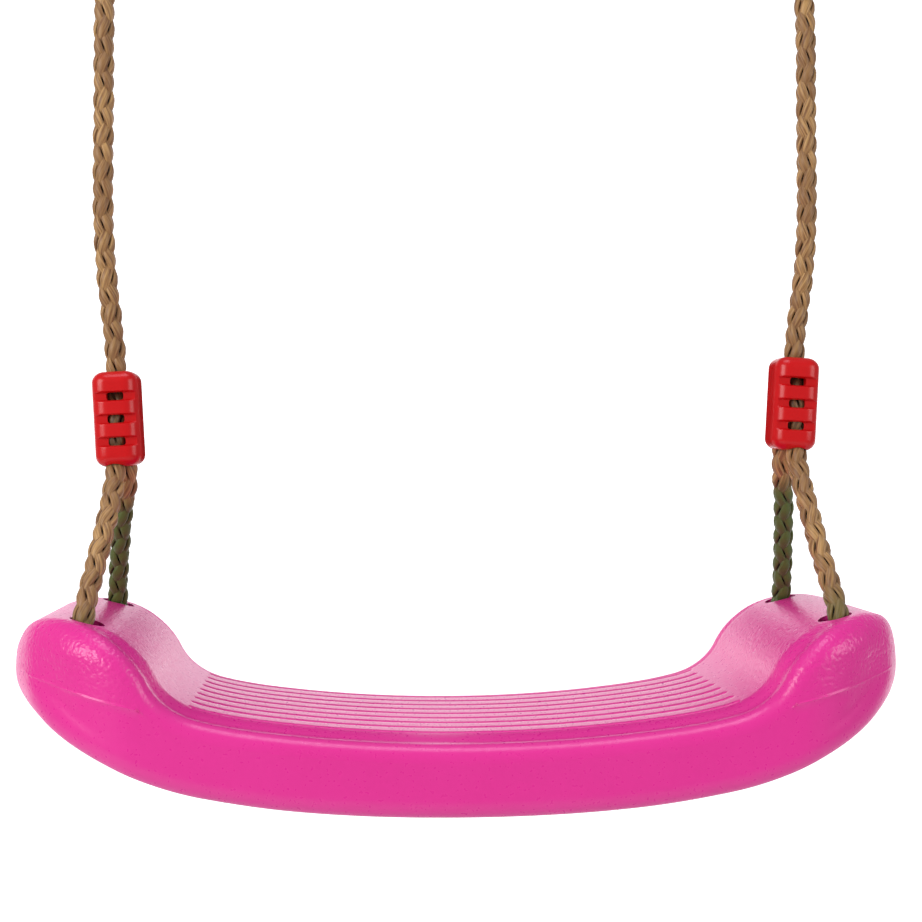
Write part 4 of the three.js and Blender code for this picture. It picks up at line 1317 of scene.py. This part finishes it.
@dataclass
class RopeClamp:
    """The red clamp: two half shells round the rope, with three open recesses front and back."""

    side: Side
    rope: BraidedRope
    top_x: float = 169.0
    top_z: float = -329.0
    width: float = 22.6
    depth: float = 25.0
    height: float = 46.5
    lean: float = 2.5
    corner: float = 7.0
    end_round_width: float = 6.0
    end_round_height: float = 5.5
    end_band: float = 10.0
    middle_band: float = 6.5
    recess_height: float = 4.5
    recess_depth: float = 2.6
    recess_edge: float = 0.6
    window_width: float = 8.2
    window_height: float = 3.8
    mouth_radius: float = 6.2
    mouth_depth: float = 6.0
    passage_radius: float = 5.5
    gap: float = 0.3
    peg_x: float = 9.1
    peg_radius: float = 1.2
    peg_length: float = 3.0
    peg_inset: float = 7.0

    def _recess_middles(self) -> np.ndarray:
        """Heights of the recesses' middle lines below the clamp's top."""
        pitch = self.recess_height + self.middle_band
        return -self.end_band - self.recess_height / 2.0 - pitch * np.arange(3)

    def _levels(self) -> np.ndarray:
        """Heights at which the body's sections stand, close together at edges and ends."""
        bow = np.sin(np.linspace(0.0, np.pi / 2.0, 12))
        ends = self.end_round_height * (1.0 - bow)
        edge = self.recess_edge * np.array([-1.6, -1.0, -0.5, 0.0, 0.5, 1.0, 1.6])
        half = self.recess_height / 2.0
        lines = self._recess_middles()[:, None]
        steps = np.concatenate([(lines - half + edge).ravel(), (lines + half + edge).ravel()])
        return np.sort(np.concatenate([-ends, ends - self.height, steps]))

    def _body(self) -> Surface:
        """The clamp's outside before it is cut.

        Each section is a rectangle with round corners. Towards the ends it draws in by a quarter
        ellipse. In a recess its front and back are pressed flat, by a smooth step over the edge.

        Returns:
            The body, with its top's middle at the origin.
        """
        levels = self._levels()
        nearest = np.minimum(-levels, levels + self.height)
        share = np.clip(1.0 - nearest / self.end_round_height, 0.0, 1.0)
        inset = self.end_round_width * (1.0 - np.sqrt(1.0 - share**2))
        away = np.abs(levels[:, None] - self._recess_middles()).min(axis=1)
        inside = ease(0.5 + (self.recess_height / 2.0 - away) / (2.0 * self.recess_edge))
        flat = self.depth / 2.0 - self.recess_depth * inside
        rings = []
        for level, draw, limit in zip(levels, inset, flat):
            outline = rounded_rectangle(
                self.width - 2.0 * draw, self.depth - 2.0 * draw, self.corner - draw, 9
            )
            over = np.abs(outline[:, 1]) - limit
            softened = 0.5 * (over + np.sqrt(over**2 + 0.02)) * inside[levels == level][0]
            outline[:, 1] -= np.sign(outline[:, 1]) * softened
            rings.append(np.column_stack([outline, np.full(len(outline), level)]))
        return Surface.tube(np.stack(rings))

    def _placed(self, surface: Surface) -> Surface:
        """A surface of the clamp, leaned and set where the clamp hangs on its rope."""
        angle = self.side.value * math.asin(self.lean / self.height)
        x, z = self.side.value * self.top_x, self.top_z + self.side.clamp_raise
        return surface.turned(turn_about_y(angle)).moved((x, 0.0, z))

    def _cutters(self) -> list[Surface]:
        """The rope's passages, the flared mouth and the windows."""
        upper = self.rope.route([*self.rope.upper[-4:], *self.rope.lower[:7]])
        rear = self.rope.route(self.rope.lower[-6:])
        beyond = rear[-1] + unit(rear[-1] - rear[-2]) * self.passage_radius
        cuts = [
            round_bar(smooth_curve(upper, 6), self.passage_radius, 32),
            round_bar(smooth_curve(np.vstack([rear, beyond]), 6), self.passage_radius, 32),
        ]
        radii = [self.passage_radius, self.mouth_radius, self.mouth_radius]
        heights = [-self.mouth_depth, 0.0, self.mouth_depth]
        rings = [
            np.column_stack([circle(radius, 40), np.full(40, height)])
            for radius, height in zip(radii, heights)
        ]
        cuts.append(self._placed(Surface.tube(np.stack(rings))))
        window = rounded_rectangle(self.window_width, self.window_height, 1.2, 5)
        for middle in self._recess_middles():
            rings = [
                np.column_stack([window[:, 0], np.full(len(window), y), window[:, 1] + middle])
                for y in (-self.depth, self.depth)
            ]
            cuts.append(self._placed(Surface.tube(np.stack(rings))))
        return cuts

    def _pegs(self, radius: float, length: float) -> list[Surface]:
        """Round bars across the seam, near the four corners."""
        bars = []
        for x in (-self.peg_x, self.peg_x):
            for z in (-self.peg_inset, self.peg_inset - self.height):
                path = np.array([[x, -length, z], [x, 0.0, z], [x, length, z]])
                bars.append(self._placed(round_bar(path, radius, 20)))
        return bars

    def build(self, material: bpy.types.Material) -> list[bpy.types.Object]:
        """Makes the front and the back half.

        Args:
            material: The clamp's finish.

        Returns:
            The two halves.
        """
        halves = []
        reach = 3.0 * self.height
        for word, way in (("front", -1), ("back", 1)):
            name = f"clamp_shell_{word}_{self.side.word}"
            half = add_object(name, self._placed(self._body()))
            near, far = sorted((way * self.gap / 2.0, way * reach))
            low = (self.side.value * self.top_x - reach, near, self.top_z - reach)
            high = (self.side.value * self.top_x + reach, far, self.top_z + reach)
            carve(half, "INTERSECT", [add_object("space", block(low, high))])
            tools = [add_object("cutter", cutter) for cutter in self._cutters()]
            if way < 0:
                pegs = self._pegs(self.peg_radius, self.peg_length)
                carve(half, "UNION", [add_object("peg", peg) for peg in pegs])
            else:
                rooms = self._pegs(self.peg_radius + self.gap, self.peg_length + self.gap)
                tools += [add_object("room", room) for room in rooms]
            carve(half, "DIFFERENCE", tools)
            node = f"clamp_{word}_{self.side.word}"
            halves.append(finish_piece(half, material, "seat", [node]))
        return halves


# ---- hook, thimble and ferrule ----


@dataclass
class SnapHook:
    """A bent-wire snap hook with a forked, sprung gate. Its inner top is the hang point."""

    side: Side
    hook_x: float = 175.0
    wire: float = 3.5
    top_bend: float = 14.5
    low_bend: float = 11.5
    inner_height: float = 56.0
    pivot_z: float = -38.0
    nose_gap: float = 1.0
    tongue: tuple[float, float, float] = (4.6, 3.0, 4.2)
    lug_width: float = 5.0
    lug_below: float = 4.8
    lug_above: float = 2.8
    slot: float = 3.6
    gate_radius: float = 3.3
    gate_below: float = 3.2
    fork_above: float = 4.4
    notch_spare: float = 0.4
    hole_radius: float = 1.4
    spring_bore: tuple[float, float] = (1.8, 10.0)

    def __post_init__(self) -> None:
        """Works out the two bends' centres and the gate's line between them."""
        self.top_z = self.wire - self.top_bend
        self.low_z = self.low_bend - self.wire - self.inner_height
        self.lean = math.asin((self.top_bend - self.low_bend) / (self.top_z - self.low_z))
        rise = self.pivot_z - self.low_z
        self.pivot_x = self.low_bend / math.cos(self.lean) + rise * math.tan(self.lean)
        nose_z = self.top_z - self.top_bend * math.sin(self.lean)
        self.nose_reach = (nose_z - self.pivot_z) / math.cos(self.lean)

    def _along_gate(self, surface: Surface) -> Surface:
        """Takes what stands on the gate's pivot to its place on the hook."""
        placed = surface.turned(turn_about_y(self.lean)).moved((self.pivot_x, 0.0, self.pivot_z))
        return self._placed(placed)

    def _placed(self, surface: Surface) -> Surface:
        """Takes the hook's own frame to its side of the swing."""
        return surface.turned(half_turn(self.side)).moved((self.side.value * self.hook_x, 0, 0))

    def _bend(self, radius: float, centre: float, start: float, stop: float) -> np.ndarray:
        """Points of an arc in X and Z, from one angle in radians to another."""
        angle = np.linspace(start, stop, 40)
        x, z = radius * np.cos(angle), centre + radius * np.sin(angle)
        return np.column_stack([x, np.zeros(len(x)), z])

    def _wire_body(self) -> Surface:
        """The bent wire: circles square to the arcs and straights, whose plane is X and Z."""
        shoulder = np.array(
            [
                self.pivot_x - self.lug_below * math.sin(self.lean),
                0.0,
                self.pivot_z - self.lug_below * math.cos(self.lean),
            ]
        )
        path = np.vstack(
            [
                self._bend(self.top_bend, self.top_z, -self.lean, math.pi + self.lean),
                self._bend(self.low_bend, self.low_z, math.pi + self.lean, 2 * math.pi - self.lean),
                shoulder,
            ]
        )
        tangent = unit(np.gradient(path, axis=0))
        side = np.broadcast_to([0.0, 1.0, 0.0], tangent.shape)
        inward = np.cross(tangent, side)
        outline = circle(self.wire, 28)
        rings = path[:, None] + side[:, None] * outline[:, :1] + inward[:, None] * outline[:, 1:]
        return Surface.tube(rings)

    def _rivet_hole(self) -> Surface:
        """Round bar across the gate at its pivot."""
        path = np.array([[0.0, -5.0, 0.0], [0.0, 0.0, 0.0], [0.0, 5.0, 0.0]])
        return self._along_gate(round_bar(path, self.hole_radius, 24))

    def build(self, material: bpy.types.Material) -> list[bpy.types.Object]:
        """Makes the hook's body and its gate.

        Args:
            material: The plated finish.

        Returns:
            The body and the gate.
        """
        word = self.side.word
        width, thick, length = self.tongue
        body = add_object(f"hook_wire_{word}", self._placed(self._wire_body()))
        nose = rounded_rectangle(width, thick, 0.5, 4)
        tongue = upright(nose, self.nose_reach - length, self.nose_reach + self.nose_gap)
        half = self.lug_width / 2.0
        lug = block(
            (-half, -thick / 2.0, -self.lug_below - self.nose_gap), (half, thick / 2.0, self.lug_above)
        )
        added = [add_object("added", self._along_gate(part)) for part in (tongue, lug)]
        carve(body, "UNION", added)
        carve(body, "DIFFERENCE", [add_object("hole", self._rivet_hole())])
        finish_piece(body, material, "hooks", [f"hook_body_{word}"])

        gate_top = self.nose_reach - self.nose_gap
        bar = upright(circle(self.gate_radius, 32), -self.gate_below, gate_top)
        gate = add_object(f"gate_bar_{word}", self._along_gate(bar))
        slot, reach = self.slot / 2.0, 5.0
        fork = block((-reach, -slot, self.fork_above - 10.0), (reach, slot, self.fork_above))
        notch_low = self.nose_reach - length - self.notch_spare
        notch = block((-reach, -slot, notch_low), (reach, slot, self.nose_reach))
        bore_radius, bore_depth = self.spring_bore
        bore = upright(circle(bore_radius, 24), 0.0, self.fork_above + bore_depth)
        cuts = [add_object("cutter", self._along_gate(part)) for part in (fork, notch, bore)]
        carve(gate, "DIFFERENCE", [*cuts, add_object("hole", self._rivet_hole())])
        finish_piece(gate, material, f"gate_{word}", [f"hook_gate_{word}"])
        return [body, gate]


@dataclass
class RopeEye:
    """What holds the rope's eye: the grooved thimble and the pressed ferrule under it."""

    side: Side
    x: float = 175.0
    eye_radius: float = 17.5
    groove_radius: float = 5.75
    thimble_wall: float = 1.0
    wrap: float = 80.0
    tangent: float = 22.0
    leg: float = 16.0
    eye_z: float = -66.45
    ferrule_top: float = -101.0
    ferrule_height: float = 26.0
    half_span: float = 5.4
    bore: float = 5.4
    ferrule_wall: float = 2.0

    def _thimble(self) -> Surface:
        """A trough bent round the eye, open outwards, with straight legs.

        Its section is the ring between two arcs about the rope's middle, each as wide as the
        wrap either way of the line to the eye's centre.

        Returns:
            The trough.
        """
        sweep = np.radians(np.linspace(-self.tangent, 180.0 + self.tangent, 49))
        out = np.stack([np.zeros(49), np.cos(sweep), np.sin(sweep)], axis=1)
        centre = np.array([0.0, 0.0, self.eye_z])
        middle = centre + out * self.eye_radius
        shares = np.linspace(0.25, 1.0, 4)[:, None] * self.leg
        down_front = np.array([0.0, out[0, 2], -out[0, 1]])
        down_back = np.array([0.0, -out[-1, 2], out[-1, 1]])
        first, last = middle[0] + shares[::-1] * down_front, middle[-1] + shares * down_back
        middle = np.vstack([first, middle, last])
        out = np.vstack([np.tile(out[0], (4, 1)), out, np.tile(out[-1], (4, 1))])
        angle = np.radians(self.wrap) * np.linspace(-1.0, 1.0, 17)
        inner, outer = self.groove_radius, self.groove_radius + self.thimble_wall
        lip = 0.5 * (inner + outer)
        radius = np.concatenate([np.full(17, outer), [lip], np.full(17, inner), [lip]])
        tip = math.radians(self.wrap) + 0.06
        turned = np.concatenate([angle, [tip], angle[::-1], [-tip]])
        across = np.array([1.0, 0.0, 0.0]) * (radius * np.sin(turned))[None, :, None]
        inwards = -out[:, None] * (radius * np.cos(turned))[None, :, None]
        return Surface.tube(middle[:, None] + across + inwards)

    def _ferrule(self) -> Surface:
        """A pressed sleeve round both ropes.

        The profile goes up the outside, with round ends and two press marks, and down the bore.
        Each profile point is carried round a stadium at its own distance from the rope's middles.

        Returns:
            The sleeve.
        """
        outer = self.bore + self.ferrule_wall
        low, high = self.ferrule_top - self.ferrule_height, self.ferrule_top
        angle = np.linspace(0.0, np.pi / 2.0, 6)
        edge = 1.2
        lower = np.column_stack([outer - edge + edge * np.sin(angle), low + edge * (1 - np.cos(angle))])
        upper = lower[::-1] * [1.0, -1.0] + [0.0, low + high]
        z = np.linspace(low + 2.0, high - 2.0, 45)
        mark = 0.35 * np.exp(-(((np.abs(z - (low + high) / 2.0) - 4.2) / 0.9) ** 2))
        side = np.column_stack([outer - mark, z])
        bore = np.column_stack([np.full(2, self.bore + 0.05), [high - 0.3, low + 0.3]])
        lips = np.array([[self.bore + 0.35, high], [self.bore + 0.35, low]])
        profile = np.vstack([lower, side, upper, lips[:1], bore, lips[1:]])
        angle = np.linspace(0.0, np.pi, 25)
        way = np.stack([np.cos(angle), np.sin(angle)], axis=1)
        ways = np.vstack([way, -way])
        middles = np.repeat([[0.0, self.half_span], [0.0, -self.half_span]], 25, axis=0)
        flat = middles[None] + ways[None] * profile[:, None, :1]
        heights = np.broadcast_to(profile[:, None, 1:], (*flat.shape[:2], 1))
        return Surface.ring(np.concatenate([flat, heights], axis=-1))

    def build(
        self, plated: bpy.types.Material, pressed: bpy.types.Material
    ) -> list[bpy.types.Object]:
        """Makes the thimble and the ferrule.

        Args:
            plated: The thimble's finish.
            pressed: The ferrule's finish.

        Returns:
            The two pieces.
        """
        word, way = self.side.word, (self.side.value * self.x, 0.0, 0.0)
        thimble = add_object(f"grooved_thimble_{word}", self._thimble().moved(way))
        ferrule = add_object(f"pressed_ferrule_{word}", self._ferrule().moved(way))
        finish_piece(thimble, plated, "hangers", [f"thimble_{word}"])
        finish_piece(ferrule, pressed, "hangers", [f"ferrule_{word}"])
        return [thimble, ferrule]


def dress_node(node: str, material: bpy.types.Material) -> None:
    """Gives a CAD node that stays in view its finish."""
    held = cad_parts[node]
    for slot in held.material_slots:
        slot.material = material
    log.info("%s: CAD shape, %s", node, material.name)


def main() -> None:
    """Builds the studio, then the ropes, then every other piece, and dresses them all."""
    logging.basicConfig(level=logging.INFO, format="%(message)s")
    Studio().build()
    rope_finish = BraidedPolyethylene().material()
    ropes = {side: BraidedRope(side) for side in Side}
    for rope in ropes.values():
        rope.build(rope_finish)
    SeatShell().build(BlowMouldedPolyethylene().material())
    clamp_finish = InjectionMouldedPlastic().material()
    zinc, aluminium = ZINC_PLATE.material(), PRESSED_ALUMINIUM.material()
    spring_wire = DRAWN_SPRING_WIRE.material()
    for side in Side:
        RopeClamp(side, ropes[side]).build(clamp_finish)
        SnapHook(side).build(zinc)
        RopeEye(side).build(zinc, aluminium)
        dress_node(f"gate_rivet_{side.word}", zinc)
        dress_node(f"gate_spring_{side.word}", spring_wire)


if __name__ == "__main__":
    main()
